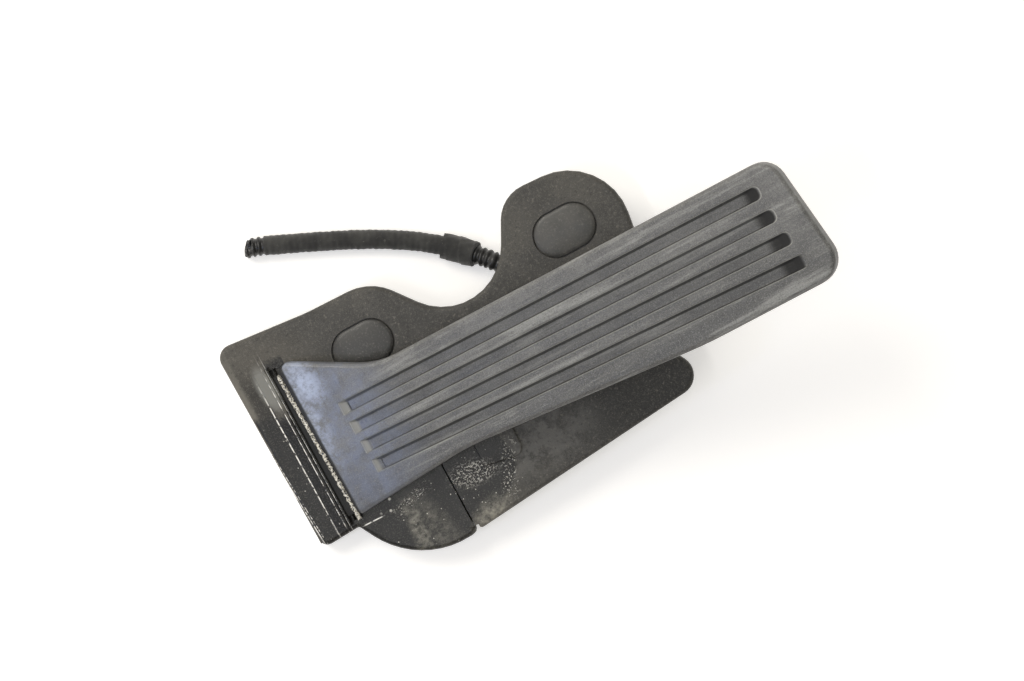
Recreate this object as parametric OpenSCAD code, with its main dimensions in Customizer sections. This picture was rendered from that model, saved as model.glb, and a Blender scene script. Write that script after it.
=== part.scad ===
// Floor-hinged accelerator pedal. X runs along the pad from its hinge to its free end, Z is up,
// the floor face is Z = 0 and the origin lies on the axis of the lower mounting hole.

/* [Base plate] */
// Height of the plate's upper face above the floor, at the lower mounting hole
plate_h = 18; // [17:0.5:20]
// Slope of the plate, rising toward the pad's free end, in degrees
plate_slope = 6; // [5.5:0.25:6.5]
// Thickness of the plate
plate_t = 3; // [2.4:0.1:3.4]
// Depth of the rim that hangs from the plate's outline
rim_depth = 6; // [5:0.5:6.5]
// Wall of that rim
rim_t = 2.4; // [2:0.1:2.5]
// Radius of the outline's upper edge
edge_r = 2; // [1:0.25:2.5]
// X of the hinge end of the plate
hinge_end_x = -59.3; // [-62:0.5:-58]
// Radius of the round lobe beside the hinge
lobe_r = 39.2; // [36:0.2:40]
// Radius of the shoulder round the lower mounting hole
shoulder_r = 22.2; // [20:0.2:24]
// Radius of the bay between the two mounting ears
bay_r = 26.3; // [24:0.5:27]
// Radius of the ear round the upper mounting hole
ear_r = 27.3; // [26:0.5:28]
// Radius of the ear's second, smaller bulge
ear_bulge_r = 16.2; // [15:0.2:17]
// Thickness of the ribs under the plate
rib_t = 1.8; // [1.2:0.2:2.4]

/* [Side wing] */
// Gap at the seam between the base plate and the side wing
seam_gap = 0.7; // [0.4:0.1:1]
// Distance from the side of the mechanism housing to that seam
seam_room = 2.5; // [2:0.25:3]
// Y of the wing's outer edge
wing_outer_y = -94; // [-96:0.5:-92]
// Radius of the wing's free corner
wing_corner_r = 8.7; // [7:0.1:10]
// Width of the ledge under the wing
ledge_w = 10; // [8:0.5:12]
// Height of the low raised pad on the wing
wing_pad_h = 1.4; // [0.8:0.1:1.6]
// Width of the notch where the seam meets the outline
notch_w = 2; // [1.5:0.1:3]
// Length of that notch
notch_l = 4.5; // [3:0.5:6]

/* [Mounting] */
// X and Y of the upper mounting hole
upper_hole = [100.5, 2.2];
// Bore of the steel mounting sleeves
sleeve_bore_d = 8.6; // [8.2:0.1:9]
// Outer diameter of the mounting sleeves
sleeve_d = 12; // [11.4:0.2:12.4]
// Length of the mounting sleeves
sleeve_l = 6; // [5:0.5:8]
// Distance between the two round ends of a bolt cap
cap_stretch = 8.4; // [6:0.2:10]
// Radius of the bolt cap's round ends
cap_r = 9.8; // [9:0.1:10.5]
// Height of the cap's dome
cap_dome = 1; // [0.5:0.1:1.6]
// Visible gap round a bolt cap
cap_gap = 0.45; // [0.3:0.05:0.6]
// Depth of the cap's seat in the plate
cap_seat = 1.6; // [1.2:0.1:2]
// Wall of the well under a cap
well_t = 2.2; // [1.8:0.1:2.6]
// Ledge that the cap's edge rests on
cap_ledge = 2.4; // [2:0.1:3]

/* [Pedal pad] */
// Angle of the released pad above the floor, in degrees
pad_angle = 22; // [21:0.5:23]
// Travel of the pad, in degrees
pad_travel = 12; // [11:0.5:12]
// X of the pad's hinge axis
hinge_x = -40.2; // [-41:0.1:-40]
// Height of the pad's hinge axis
hinge_z = 14.3; // [14.1:0.1:14.5]
// Radius of the roll along the pad's hinge edge
roll_r = 1.8; // [1.6:0.1:1.9]
// Height of the pad's tread face above a line through the hinge axis
tread_rise = 3.3; // [3:0.1:3.6]
// Depth of the pad at its free end
pad_depth = 7; // [6:0.25:8]
// Thickness of the tread
tread_t = 3.4; // [3:0.1:3.6]
// Wall of the pad's skirt
skirt_t = 2.6; // [2:0.1:3]
// Radius of the pad's upper edge
pad_edge_r = 2; // [1:0.25:2.25]
// Width of a groove
groove_w = 5.8; // [4:0.1:6.5]
// Depth of a groove
groove_depth = 1.5; // [1:0.1:1.8]
// Distance between the grooves at the hinge end
groove_pitch_near = 9.5; // [8.5:0.1:10]
// Distance between the grooves at the free end
groove_pitch_far = 10.9; // [10:0.1:11.5]

/* [Lever and shaft] */
// X of the shaft's axis
shaft_x = 94; // [93:0.5:95]
// Height of the shaft's axis
shaft_z = 16; // [15.5:0.25:16]
// Y of the lever's middle plane
lever_y = -35; // [-36:0.5:-34]
// Distance from the shaft's axis to the roller's axis
lever_l = 58; // [57:0.5:59]
// Diameter of the shaft
shaft_d = 8; // [7:0.2:8.4]
// Radius of the lever's hub
hub_r = 7.2; // [6.6:0.1:7.4]
// Width of the lever
lever_w = 13; // [12:0.5:14]
// Radius of the roller
roller_r = 5; // [4.5:0.1:5.2]
// Width of the roller
roller_w = 6.6; // [6:0.1:7]
// Diameter of the roller's pin
roller_pin_d = 3; // [2.6:0.1:3.4]
// Distance of the roller's axis below a line through the pad's hinge axis
roller_drop = 19.5; // [19:0.1:20]
// Gap between the roller and the pad's track
track_gap = 0.45; // [0.4:0.05:0.6]
// Radial clearance of what turns
run_gap = 0.05; // [0.02:0.01:0.08]

/* [Springs] */
// Wire diameter of the return springs
wire_d = 1.6; // [1.2:0.1:1.8]
// Turns of a return spring
spring_turns = 3; // [2:1:3]

/* [Housing] */
// Wall of the mechanism housing
housing_wall = 3; // [2.4:0.1:3.2]
// Floor of the mechanism housing
housing_floor = 2; // [1.6:0.1:2.4]
// Inner width of the mechanism housing
housing_w = 31; // [30:0.5:32]
// Room in the housing beyond the roller's axis
tip_room = 11; // [10:0.5:12]
// X of the housing's inner face at the far side
housing_x1 = 104.4; // [104:0.2:106]
// Diameter of the screws
screw_d = 3; // [2.6:0.1:3.4]
// Diameter of the screw heads
screw_head_d = 6; // [5:0.2:6.4]
// Thickness of the flanges that the screws hold
flange_t = 3; // [2.4:0.2:3.4]

/* [Sensor and harness] */
// Thickness of the position sensor's body
sensor_t = 5.6; // [5:0.1:5.8]
// Width of the sensor's body
sensor_w = 24; // [22:0.5:25]
// Width of the harness plug
plug_w = 11.2; // [10:0.2:12]
// Height of the harness plug
plug_h = 9; // [8:0.2:10]
// Length of the harness plug
plug_l = 16.5; // [15:0.5:17]
// Wall of the sensor's connector socket
socket_wall = 1.4; // [1.2:0.1:1.6]
// Diameter of the taped conduit
conduit_d = 9; // [8:0.2:9.2]
// Diameter of the tape collar
collar_d = 12; // [11:0.2:12.6]
// Clearance of pieces that are pressed or set into each other
fit_gap = 0.05; // [0.02:0.01:0.1]

/* [Hidden] */
$fn = 48;
big = 400;

// Colours as the photo shows them
black_plastic = "#2a2a2a";
grey_plastic = "#55585d";
rubber = "#1b1b1b";
steel = "#9a9da0";
spring_steel = "#73767a";

// Circles [x, y, r] that the plate's outline is wound round, counterclockwise; r < 0 bends inward.
// X and Y lie in the plate's own sloping plane, measured from the lower mounting hole.
hinge_corner_r = 4;
back_corner_r = 6;
lobe_centre = [-2, -55.9];
seam_x = 5.2;
inner_edge_y = lever_y - housing_w / 2 - housing_wall - seam_room;
lower_hole = [0, 0];
ear_c = [101.6, 0];
seam_corner_r = 2.6;
seam_corner = [seam_x - seam_corner_r, lobe_centre.y - 0.05
    - sqrt(pow(lobe_r - seam_corner_r, 2) - pow(seam_x - seam_corner_r - lobe_centre.x, 2))];
// Fillet where the hinge end meets the lobe
fillet_r = 1.3;
fillet_at = lobe_centre + (lobe_r + fillet_r + 0.5) * unit(199.7);
base_chain = [
    [hinge_end_x + hinge_corner_r + 1, -65.2, hinge_corner_r],
    [fillet_at.x, fillet_at.y, -fillet_r],
    [lobe_centre.x, lobe_centre.y, lobe_r],
    [seam_corner.x, seam_corner.y, seam_corner_r],
    [seam_x + 3, inner_edge_y - 3, -3],
    [114, inner_edge_y + 8, 8],
    [ear_c.x, ear_c.y, ear_r],
    [ear_c.x - 8.6, ear_c.y + 11.6, ear_bulge_r],
    [50.3, 21.8, -bay_r],
    [4.5, 1.8, shoulder_r],
    [-11, 84.5, -60],
    [hinge_end_x + back_corner_r, 22.6, back_corner_r]
];
wing_x0 = seam_x + seam_gap;
wing_y1 = inner_edge_y - 1;
wing_chain = [
    [wing_x0 + seam_corner_r, wing_outer_y + seam_corner_r, seam_corner_r],
    [112.2, -75.3, wing_corner_r],
    [108, wing_y1 - 7, 7],
    [wing_x0 + 3.6, wing_y1 - 3, 3]
];

// The pad's outline in its own plane: X runs up the tread from the hinge axis, Y as in the row
pad_end = 246;
pad_chain = [
    [7.2, -61.4, 2.4],
    [66, -179.9, -120],
    [190, 182.1, 250],
    [pad_end - 10.6, -57.2, 10.6],
    [pad_end - 14, -22.8, 10],
    [56, 30.1, -40],
    [8.2, 6.3, 3.4]
];
// Depth in the plate at which the ribs under it end
seat_in_plate = 1.2;
groove_near_u = 22;
groove_far_u = 231.5;
groove_near_y = -19.7;
groove_far_y = -23.6;
groove_lean = 1.2;
groove_ramp = 3.4;
groove_n = 4;

rest_tilt = asin((sin(pad_angle) * (shaft_x - hinge_x) - cos(pad_angle) * (shaft_z - hinge_z)
    - roller_drop) / lever_l) - pad_angle;
roller_x = shaft_x - lever_l * cos(rest_tilt);
roller_z = shaft_z + lever_l * sin(rest_tilt);
track_u = (roller_x - hinge_x) * cos(pad_angle) + (roller_z - hinge_z) * sin(pad_angle);
housing_x0 = shaft_x - lever_l - tip_room;
housing_y0 = lever_y - housing_w / 2;
housing_y1 = lever_y + housing_w / 2;
window_x0 = housing_x0 + 0.5;
window_x1 = shaft_x - 3;
window_w = lever_w + 8;
cap_skirt = 4;
flange_z = 9;
housing_holes = [[housing_x0 - 7, lever_y - 11], [housing_x0 - 7, lever_y + 11],
    [housing_x1 + 7, lever_y - 11], [housing_x1 + 7, lever_y + 11]];
wing_holes = [for (x = [70:18:106]) [x, inner_edge_y - 5]];
screw_head_h = 2.2;
bumper_at = [115, lever_y - 4];
bumper_r = 6;
full_angle = pad_angle - pad_travel;
bumper_x0 = bumper_at.x - bumper_r;
bumper_h = (hinge_z + (bumper_x0 - hinge_x) * tan(full_angle)
    + (tread_rise - pad_depth) / cos(full_angle) - plate_top(bumper_x0)) * cos(plate_slope) - 0.4;

// The harness leaves under the ear along this heading
harness_at = [69.7, 2.8];
harness_heading = 128;
harness_z = 11;
plug_back = 3;
socket_depth = 13;
conduit_route = [
    [69.7, 2.8, 11], [67.82, 5.21, 11], [65.8, 7.8, 10], [63, 10.8, 8.6], [60, 14, 7.2],
    [56.8, 17.2, 6.3], [53.4, 20.4, 6.1], [50, 23.3, 6], [46, 26.5, 5.6], [41, 30.2, 5],
    [35.8, 33.5, 4.6], [30, 37, 4.5], [24.2, 40.2, 4.5], [16.4, 44.2, 4.5], [8.6, 47.9, 4.5],
    [0.6, 51.6, 4.5], [-7.4, 55.2, 4.5], [-14.6, 58.4, 4.5], [-21, 61, 4.5], [-27, 62.8, 4.5]
];

// Functions for outlines and lofts

function unit(a) = [cos(a), sin(a)];
function tangent_angle(p, q) =
    atan2(q.y - p.y, q.x - p.x) - acos((p.z - q.z) / norm([q.x - p.x, q.y - p.y]));
function turn_of(r, a0, a1) = r > 0 ? (a1 - a0 + 720) % 360 : -((a0 - a1 + 720) % 360);
function arc_step(r) = abs(r) < 5 ? 30 : abs(r) < 30 ? 12 : abs(r) < 80 ? 7 : 2;
function arc_points(c, a0, a1, inset) =
    let (turn = turn_of(c.z, a0, a1), n = max(1, ceil(abs(turn) / arc_step(c.z))))
    c.z > 0 && c.z <= inset
        ? [[c.x, c.y] + (c.z - inset) / cos(turn / 2) * unit(a0 + turn / 2)]
        : [for (k = [0:n]) [c.x, c.y] + (c.z - inset) * unit(a0 + turn * k / n)];
// Points of a belt wound round the circles of a chain, drawn in by inset
function belt(chain, inset = 0) = let (n = len(chain)) [
    for (i = [0:n - 1])
        each arc_points(chain[i], tangent_angle(chain[(i + n - 1) % n], chain[i]),
            tangent_angle(chain[i], chain[(i + 1) % n]), inset)
];
function at_height(points, z) = [for (p = points) [p.x, p.y, z]];

// Triangles that fill a flat outline with bends inward: ears are cut off one by one
function side_of(a, b, c) = (b.x - a.x) * (c.y - a.y) - (b.y - a.y) * (c.x - a.x);
function in_ear(a, b, c, d) = side_of(a, b, d) > -1e-6 && side_of(b, c, d) > -1e-6
    && side_of(c, a, d) > -1e-6;
function is_ear(p, q, i) =
    let (n = len(q), a = q[(i + n - 1) % n], b = q[i], c = q[(i + 1) % n])
    side_of(p[a], p[b], p[c]) > 1e-6
    && len([for (k = q) if (k != a && k != b && k != c && in_ear(p[a], p[b], p[c], p[k])) k]) == 0;
function find_ear(p, q, i) = is_ear(p, q, i % len(q)) ? i % len(q) : find_ear(p, q, i + 1);
function fill(p, q, from = 0) = len(q) == 3 ? [q] :
    let (n = len(q), i = find_ear(p, q, from))
    concat([[q[(i + n - 1) % n], q[i], q[(i + 1) % n]]],
        fill(p, [for (k = [0:n - 1]) if (k != i) q[k]], i + 1));

// Solid through rings of equally many points, lowest first; flat rings may bend inward
module loft(rings, flat = false) {
    n = len(rings[0]);
    m = len(rings);
    ring = [for (i = [0:n - 1]) i];
    polyhedron(
        points = [for (r = rings) each r],
        faces = concat(
            flat ? fill(rings[0], ring) : [ring],
            flat ? [for (t = fill(rings[m - 1], ring)) [for (i = [2:-1:0]) (m - 1) * n + t[i]]]
                : [[for (i = [n - 1:-1:0]) (m - 1) * n + i]],
            [for (k = [0:m - 2], i = [0:n - 1])
                [k * n + i, (k + 1) * n + i, (k + 1) * n + (i + 1) % n, k * n + (i + 1) % n]]
        )
    );
}

// Plate of the given depth below Z = 0 whose upper edge is rounded
module rounded_plate(chain, depth, r) {
    steps = 3;
    loft(concat(
        [at_height(belt(chain), -depth)],
        [for (k = [0:steps]) at_height(belt(chain, r * (1 - cos(90 * k / steps))),
            r * (sin(90 * k / steps) - 1))]
    ), flat = true);
}

// Plate with a rounded upper edge and a rim that hangs from its outline
module rimmed_plate(chain) {
    steps = 3;
    loft(concat(
        [at_height(belt(chain, rim_t), -plate_t)],
        [at_height(belt(chain, rim_t), -rim_depth)],
        [at_height(belt(chain), -rim_depth)],
        [for (k = [0:steps]) at_height(belt(chain, edge_r * (1 - cos(90 * k / steps))),
            edge_r * (sin(90 * k / steps) - 1))]
    ), flat = true);
}

module slab(chain, inset, z0, z1) {
    translate([0, 0, z0]) linear_extrude(z1 - z0) polygon(belt(chain, inset));
}

// Long hole or cap outline with round ends, lying along X
module obround(stretch, r, z0, z1) {
    translate([0, 0, z0]) linear_extrude(z1 - z0) union() {
        for (side = [-1, 1]) translate([side * stretch / 2, 0]) circle(r);
        translate([-stretch / 2, -r]) square([stretch, 2 * r]);
    }
}

module on_plate() {
    translate([0, 0, plate_h]) rotate([0, -plate_slope, 0]) children();
}

module on_pad() {
    translate([hinge_x, 0, hinge_z]) rotate([0, -pad_angle, 0]) children();
}

module on_lever() {
    translate([shaft_x, lever_y, shaft_z]) rotate([0, rest_tilt, 0]) mirror([1, 0, 0]) children();
}

module along_y(r, y0, y1) {
    translate([0, y0, 0]) rotate([-90, 0, 0]) cylinder(r = r, h = y1 - y0);
}

module below_plate() {
    on_plate() translate([-big / 2, -big / 2, -big]) cube([big, big, big - plate_t]);
}

module at_mounts() {
    for (p = [lower_hole, upper_hole]) translate([p.x, p.y, 0]) children();
}

function plate_top(x) = plate_h + x * tan(plate_slope);

// Base plate with hinge block, wells, ribs and the ledge for the wing

retainer_x0 = -49;
retainer_x1 = -41.5;
hinge_y0 = -67;
hinge_y1 = 12;
hinge_wall_x = -33.5;
block_cells = 6;

module hinge_block() {
    x0 = hinge_end_x + 1.6;
    y0 = hinge_y0;
    y1 = hinge_y1 + 9;
    difference() {
        translate([x0, y0, 0]) cube([hinge_wall_x - x0, y1 - y0, plate_top(hinge_wall_x) - 1.5]);
        on_plate() translate([-big / 2, -big / 2, -1]) cube(big);
        for (k = [0:block_cells - 1]) {
            cell = (y1 - y0 - rib_t) / block_cells;
            translate([x0 + rib_t, y0 + rib_t + k * cell, -1]) {
                cube([-43.5 - x0 - rib_t, cell - rib_t, plate_top(hinge_end_x) - plate_t + 0.6]);
            }
        }
    }
}

module at_wing_holes() {
    for (p = wing_holes) on_plate() translate([p.x / cos(plate_slope), p.y, 0]) children();
}

module wing_ledge() {
    on_plate() translate([14, inner_edge_y - ledge_w, -plate_t - fit_gap - 2.4]) {
        cube([96, ledge_w + rim_t / 2, 2.4]);
    }
    at_wing_holes() translate([0, 0, -plate_t - 7]) cylinder(d = screw_head_d + 1, h = 5);
}

// Ribs [x, y, length, direction] that run under the plate into its rim
rib_list = [
    [-24, lobe_centre.y - sqrt(pow(lobe_r - rim_t / 2, 2) - pow(24 + lobe_centre.x, 2)), 111, 90],
    [hinge_wall_x - 1, 13.4, 56, 0], [hinge_wall_x - 1, -74, 38.2, 0],
    [hinge_wall_x - 1, lobe_centre.y, 38.3, 0], [118, inner_edge_y + 2, 73, 90]
];

module plate_ribs() {
    for (r = rib_list) translate([r.x, r.y, 1 - rim_depth]) rotate([0, 0, r[3]]) {
        translate([0, -rib_t / 2, 0]) cube([r.z, rib_t, rim_depth - 1 - seat_in_plate]);
    }
}

module base_plate() color(black_plastic) difference() {
    union() {
        on_plate() rimmed_plate(base_chain);
        hinge_block();
        wing_ledge();
        on_plate() plate_ribs();
        difference() {
            at_mounts() obround(cap_stretch, cap_r - cap_ledge + well_t, 0, 60);
            on_plate() translate([-big / 2, -big / 2, -1]) cube(big);
        }
        for (p = housing_holes) translate([p.x, p.y, flange_z + flange_t]) {
            cylinder(d = screw_head_d + 1, h = plate_top(p.x) - flange_z - flange_t - 1);
        }
    }
    // Seats, wells and sleeve holes under the caps
    at_mounts() obround(cap_stretch, cap_r - cap_ledge, sleeve_l, 60);
    at_mounts() translate([0, 0, -1]) cylinder(d = sleeve_d + 2 * fit_gap, h = sleeve_l + 2);
    for (p = [lower_hole, upper_hole]) on_plate() {
        translate([p.x / cos(plate_slope), p.y, 0]) obround(cap_stretch, cap_r + cap_gap, -cap_seat, 5);
    }
    // Window for the lever and the pad's track
    translate([window_x0, lever_y - window_w / 2, 2]) cube([window_x1 - window_x0, window_w, 60]);
    // Trough for the pad's hinge roll, and room for the web beside it when the pad is down
    translate([hinge_x, 0, hinge_z]) along_y(roll_r + run_gap, hinge_y0 + 2, hinge_y1 - 2);
    on_plate() translate([hinge_x, hinge_y0 + 2.4, -0.6]) cube([5.6, hinge_y1 - hinge_y0 - 4.8, 2]);
    // Feet of the retainer
    for (y = retainer_feet) on_plate() {
        translate([-46.6 - fit_gap, y - fit_gap, -4]) cube([2 + 2 * fit_gap, 5 + 2 * fit_gap, 5]);
    }
    // Pilot holes
    for (p = housing_holes) translate([p.x, p.y, 0]) {
        cylinder(d = screw_d + 2 * fit_gap, h = plate_top(p.x) - plate_t + 1);
    }
    at_wing_holes() translate([0, 0, -30]) cylinder(d = screw_d + 2 * fit_gap, h = 40);
    bumper_hole();
}

module bumper_hole() {
    translate([bumper_at.x, bumper_at.y, plate_top(bumper_at.x) - plate_t - 3]) {
        cylinder(r = bumper_r / 2 + fit_gap, h = 10);
    }
}

// Side wing

module side_wing() color(black_plastic) difference() {
    union() {
        on_plate() rimmed_plate(wing_chain);
        on_plate() wing_pad();
    }
    // Room for the ledge of the base plate
    on_plate() translate([12, inner_edge_y - ledge_w - 0.6, -2 * rim_depth]) {
        cube([96 + 4, ledge_w + 5, 2 * rim_depth - plate_t]);
    }
    on_plate() translate([seam_x - 1, wing_outer_y - 2, -10]) cube([notch_w + 1, notch_l + 1.6, 20]);
    at_wing_holes() translate([0, 0, -30]) cylinder(d = screw_d + 0.4, h = 40);
}

wing_pad_chain = [
    [23.6, inner_edge_y - 13.4, 2], [36.2, inner_edge_y - 13.4, 4.4],
    [36.6, inner_edge_y - 4, 4], [23.4, inner_edge_y - 3.6, 1.6]
];

module wing_pad() {
    translate([0, 0, wing_pad_h]) rounded_plate(wing_pad_chain, wing_pad_h + 1, 0.8);
}

// Retainer strip over the hinge roll

retainer_feet = [-58, -34, -10];

module hinge_retainer() color(black_plastic) difference() {
    union() {
        on_plate() translate([0, hinge_y1 - 0.5, 0]) rotate([90, 0, 0]) {
            linear_extrude(hinge_y1 - hinge_y0 - 1.1) polygon([
                [retainer_x0, 0], [retainer_x0 + 0.5, 1.3], [-44.6, 1.7], [-44.4, 2.3], [-43.2, 2.4],
                [-42.9, 1.9], [-42.5, 1.9], [-42.3, 3.3], [retainer_x1, 3.3], [retainer_x1 + 0.3, 2.6],
                [-41.8, 1.6], [-42.4, 0.9], [-42.5, 0]
            ]);
        }
        for (y = retainer_feet) on_plate() translate([-46.6, y, -3.6]) cube([2, 5, 4]);
    }
    translate([hinge_x, 0, hinge_z]) along_y(roll_r + run_gap + 0.05, hinge_y0 - 2, hinge_y1 + 2);
}

// Oval caps over the mounting holes

module bolt_cap(p) {
    color(black_plastic) on_plate() translate([p.x / cos(plate_slope), p.y, -cap_seat]) {
        difference() {
            union() {
                hull() {
                    obround(cap_stretch, cap_r, 0, cap_seat - 0.3);
                    obround(cap_stretch, cap_r - 0.6, 0, cap_seat + 0.1);
                    obround(cap_stretch, cap_r - 3, 0, cap_seat + 0.65 * cap_dome);
                    obround(cap_stretch, cap_r - 6, 0, cap_seat + cap_dome);
                }
                obround(cap_stretch, cap_r - cap_ledge - 0.8, -cap_skirt, 0);
            }
            obround(cap_stretch, cap_r - cap_ledge - 2, -cap_skirt - 1, 0);
        }
    }
}

module lower_bolt_cap() bolt_cap(lower_hole);

module upper_bolt_cap() bolt_cap(upper_hole);

module mounting_sleeve(p) {
    color(steel) translate([p.x, p.y, 0]) difference() {
        cylinder(d = sleeve_d, h = sleeve_l);
        translate([0, 0, -1]) cylinder(d = sleeve_bore_d, h = sleeve_l + 2);
    }
}

module lower_mounting_sleeve() mounting_sleeve(lower_hole);

module upper_mounting_sleeve() mounting_sleeve(upper_hole);

// Housing of the lever, open at the top under the plate's window

module housing_box(grow, z0) {
    translate([housing_x0 - grow, housing_y0 - grow, z0]) {
        cube([housing_x1 - housing_x0 + 2 * grow, housing_w + 2 * grow, 60]);
    }
}

module mechanism_housing() color(black_plastic) difference() {
    union() {
        intersection() {
            difference() {
                housing_box(housing_wall, 0);
                housing_box(0, housing_floor);
            }
            below_plate();
        }
        for (p = housing_holes) {
            side = p.x < shaft_x ? -1 : 1;
            wall_x = side < 0 ? housing_x0 - housing_wall : housing_x1 + housing_wall;
            translate([0, p.y - 5, flange_z]) difference() {
                translate([min(wall_x - 1, p.x - 5), 0, 0]) cube([abs(p.x - wall_x) + 6, 10, flange_t]);
                housing_box_cut();
            }
        }
    }
    for (p = housing_holes) translate([p.x, p.y, 0]) cylinder(d = screw_d + 0.4, h = 60);
    translate([shaft_x, 0, shaft_z]) along_y(shaft_d / 2 + 1.5 + fit_gap, housing_y0 - 9, housing_y1 + 9);
    for (p = sensor_holes) translate([p.x, 0, p.y]) {
        along_y(screw_d / 2 + fit_gap, housing_y1 - 1, housing_y1 + 9);
    }
}

module housing_box_cut() {
    translate([housing_x0, -big, -60]) cube([housing_x1 - housing_x0, 2 * big, 120]);
}

module screw(l) {
    cylinder(d = screw_d, h = l);
    translate([0, 0, -screw_head_h]) difference() {
        cylinder(d = screw_head_d, h = screw_head_h);
        translate([0, 0, -1]) cylinder(d = screw_d * 0.9, h = 2, $fn = 6);
    }
}

module housing_screws() color(steel) {
    for (p = housing_holes) translate([p.x, p.y, flange_z]) screw(8);
}

module wing_screws() color(steel) at_wing_holes() rotate([180, 0, 0]) screw(plate_t + 4);

// Bushes, springs and stops

module shaft_bush(side) {
    color(grey_plastic) translate([shaft_x, lever_y, shaft_z]) mirror([0, side < 0 ? 1 : 0, 0]) {
        difference() {
            union() {
                along_y(shaft_d / 2 + 1.5, housing_w / 2, housing_w / 2 + housing_wall);
                along_y(shaft_d / 2 + 1.9, housing_w / 2 - 1, housing_w / 2);
            }
            along_y(shaft_d / 2 + run_gap, housing_w / 2 - 2, housing_w);
        }
    }
}

module shaft_bush_left() shaft_bush(-1);

module shaft_bush_right() shaft_bush(1);

// Round wire swept through a list of points
function path_dir(p, i) = let (d = p[min(i + 1, len(p) - 1)] - p[max(i - 1, 0)]) d / norm(d);
function wire_ring(p, i, r, n, side) =
    let (d = path_dir(p, i), a = cross(side, d), u = a / norm(a), v = cross(d, u))
    [for (k = [0:n - 1]) p[i] + r * (cos(360 * k / n) * u + sin(360 * k / n) * v)];

module wire(points, d, n, side) {
    loft([for (i = [0:len(points) - 1]) wire_ring(points, i, d / 2, n, side)]);
}

coil_r = hub_r;
spring_peg = [26, 2.9];
peg_r = 1.2;

// Torsion spring: one leg lifts the lever's peg, the other stands on the housing's floor
module return_spring(side) {
    pitch = wire_d + 0.12;
    y_in = lever_w / 2 + 1.2 + wire_d / 2;
    peg = [spring_peg.y * sin(rest_tilt) - spring_peg.x * cos(rest_tilt),
        spring_peg.x * sin(rest_tilt) + spring_peg.y * cos(rest_tilt)];
    leg_r = peg_r + wire_d / 2 + fit_gap;
    a0 = atan2(peg.y, peg.x) + acos((coil_r - leg_r) / norm(peg));
    tip = peg + leg_r * unit(a0) + 3 * [sin(a0), -cos(a0)];
    turn = 180 + 360 * spring_turns - a0;
    steps = 16 * spring_turns;
    color(spring_steel) translate([shaft_x, lever_y, shaft_z]) mirror([0, side < 0 ? 1 : 0, 0]) {
        wire(concat(
            [[tip.x, y_in, tip.y]],
            [for (k = [0:steps]) let (c = coil_r * unit(a0 + turn * k / steps))
                [c.x, y_in + pitch * turn * k / steps / 360, c.y]],
            [[-coil_r, y_in + pitch * turn / 360, housing_floor - shaft_z]]
        ), wire_d, 8, [0, 1, 0]);
    }
}

module return_spring_left() return_spring(-1);

module return_spring_right() return_spring(1);

tail = [8, 5.2];

// Rubber block just under the lever's tail when the pad is up
module idle_stop() color(rubber) {
    top = shaft_z - tail.x * sin(rest_tilt) - tail.y * cos(rest_tilt) - 0.35;
    translate([shaft_x + 4.4, lever_y - 4, housing_floor]) cube([4.6, 8, top - housing_floor]);
}

module full_stroke_bumper() color(rubber) {
    translate([bumper_at.x, bumper_at.y, plate_top(bumper_at.x) - plate_t - 2.4]) {
        cylinder(r = bumper_r / 2, h = plate_t + 3.4);
    }
    on_plate() translate([bumper_at.x / cos(plate_slope), bumper_at.y, 0]) {
        cylinder(r = bumper_r, h = bumper_h);
    }
}

// Position sensor and harness

// X and Z of the sensor's screws
sensor_holes = [[shaft_x - sensor_w / 2 + 3.2, 20.3], [shaft_x + sensor_w / 2 - 3.2, 7.5]];
sensor_y = housing_y1 + housing_wall;

module along_harness(s) {
    translate([harness_at.x, harness_at.y, harness_z]) rotate([0, 0, harness_heading + 180]) {
        translate([s, 0, 0]) children();
    }
}

module position_sensor() color(black_plastic) difference() {
    union() {
        intersection() {
            translate([shaft_x - sensor_w / 2, sensor_y, 4]) cube([sensor_w, sensor_t, 30]);
            translate([0, 0, -0.3]) below_plate();
        }
        difference() {
            along_harness(plug_back + plug_l - socket_depth) {
                translate([0, -plug_w / 2 - socket_wall - fit_gap, -plug_h / 2 - socket_wall - fit_gap]) {
                    cube([socket_depth + 6, plug_w + 2 * socket_wall + 2 * fit_gap,
                        plug_h + 2 * socket_wall + 2 * fit_gap]);
                }
            }
            translate([0, sensor_y - big, 0]) cube([big, big, 60]);
        }
    }
    along_harness(0) translate([-40, -plug_w / 2 - fit_gap, -plug_h / 2 - fit_gap]) {
        cube([40 + plug_back + plug_l, plug_w + 2 * fit_gap, plug_h + 2 * fit_gap]);
    }
    translate([shaft_x, 0, shaft_z]) along_y(shaft_d / 2 + 0.6, sensor_y - 1, sensor_y + 2);
    for (p = sensor_holes) translate([p.x, 0, p.y]) {
        along_y(screw_d / 2 + 0.2, sensor_y - 1, sensor_y + 9);
    }
}

module sensor_screws() color(steel) {
    for (p = sensor_holes) translate([p.x, sensor_y + sensor_t, p.y]) {
        rotate([90, 0, 0]) screw(sensor_t + housing_wall - 0.4);
    }
}

module harness_plug() color(black_plastic) along_harness(plug_back) difference() {
    translate([0, -plug_w / 2, -plug_h / 2]) cube([plug_l, plug_w, plug_h]);
    translate([plug_l - 8, -plug_w / 2 + 1.2, -plug_h / 2 + 1.2]) cube([9, plug_w - 2.4, plug_h - 2.4]);
}

module plug_grommet() color(rubber) along_harness(0) rotate([0, 90, 0]) {
    cylinder(d = conduit_d + 0.6, h = plug_back);
}

module harness_conduit() color(rubber) wire(conduit_route, conduit_d, 12, [0, 0, 1]);

collar_from = 4;
collar_to = 7;

module tape_collar() color(rubber) difference() {
    wire([for (i = [collar_from:collar_to]) conduit_route[i]], collar_d, 16, [0, 0, 1]);
    wire([for (i = [collar_from - 1:collar_to + 1]) conduit_route[i]], conduit_d + 0.1, 12, [0, 0, 1]);
}

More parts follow.
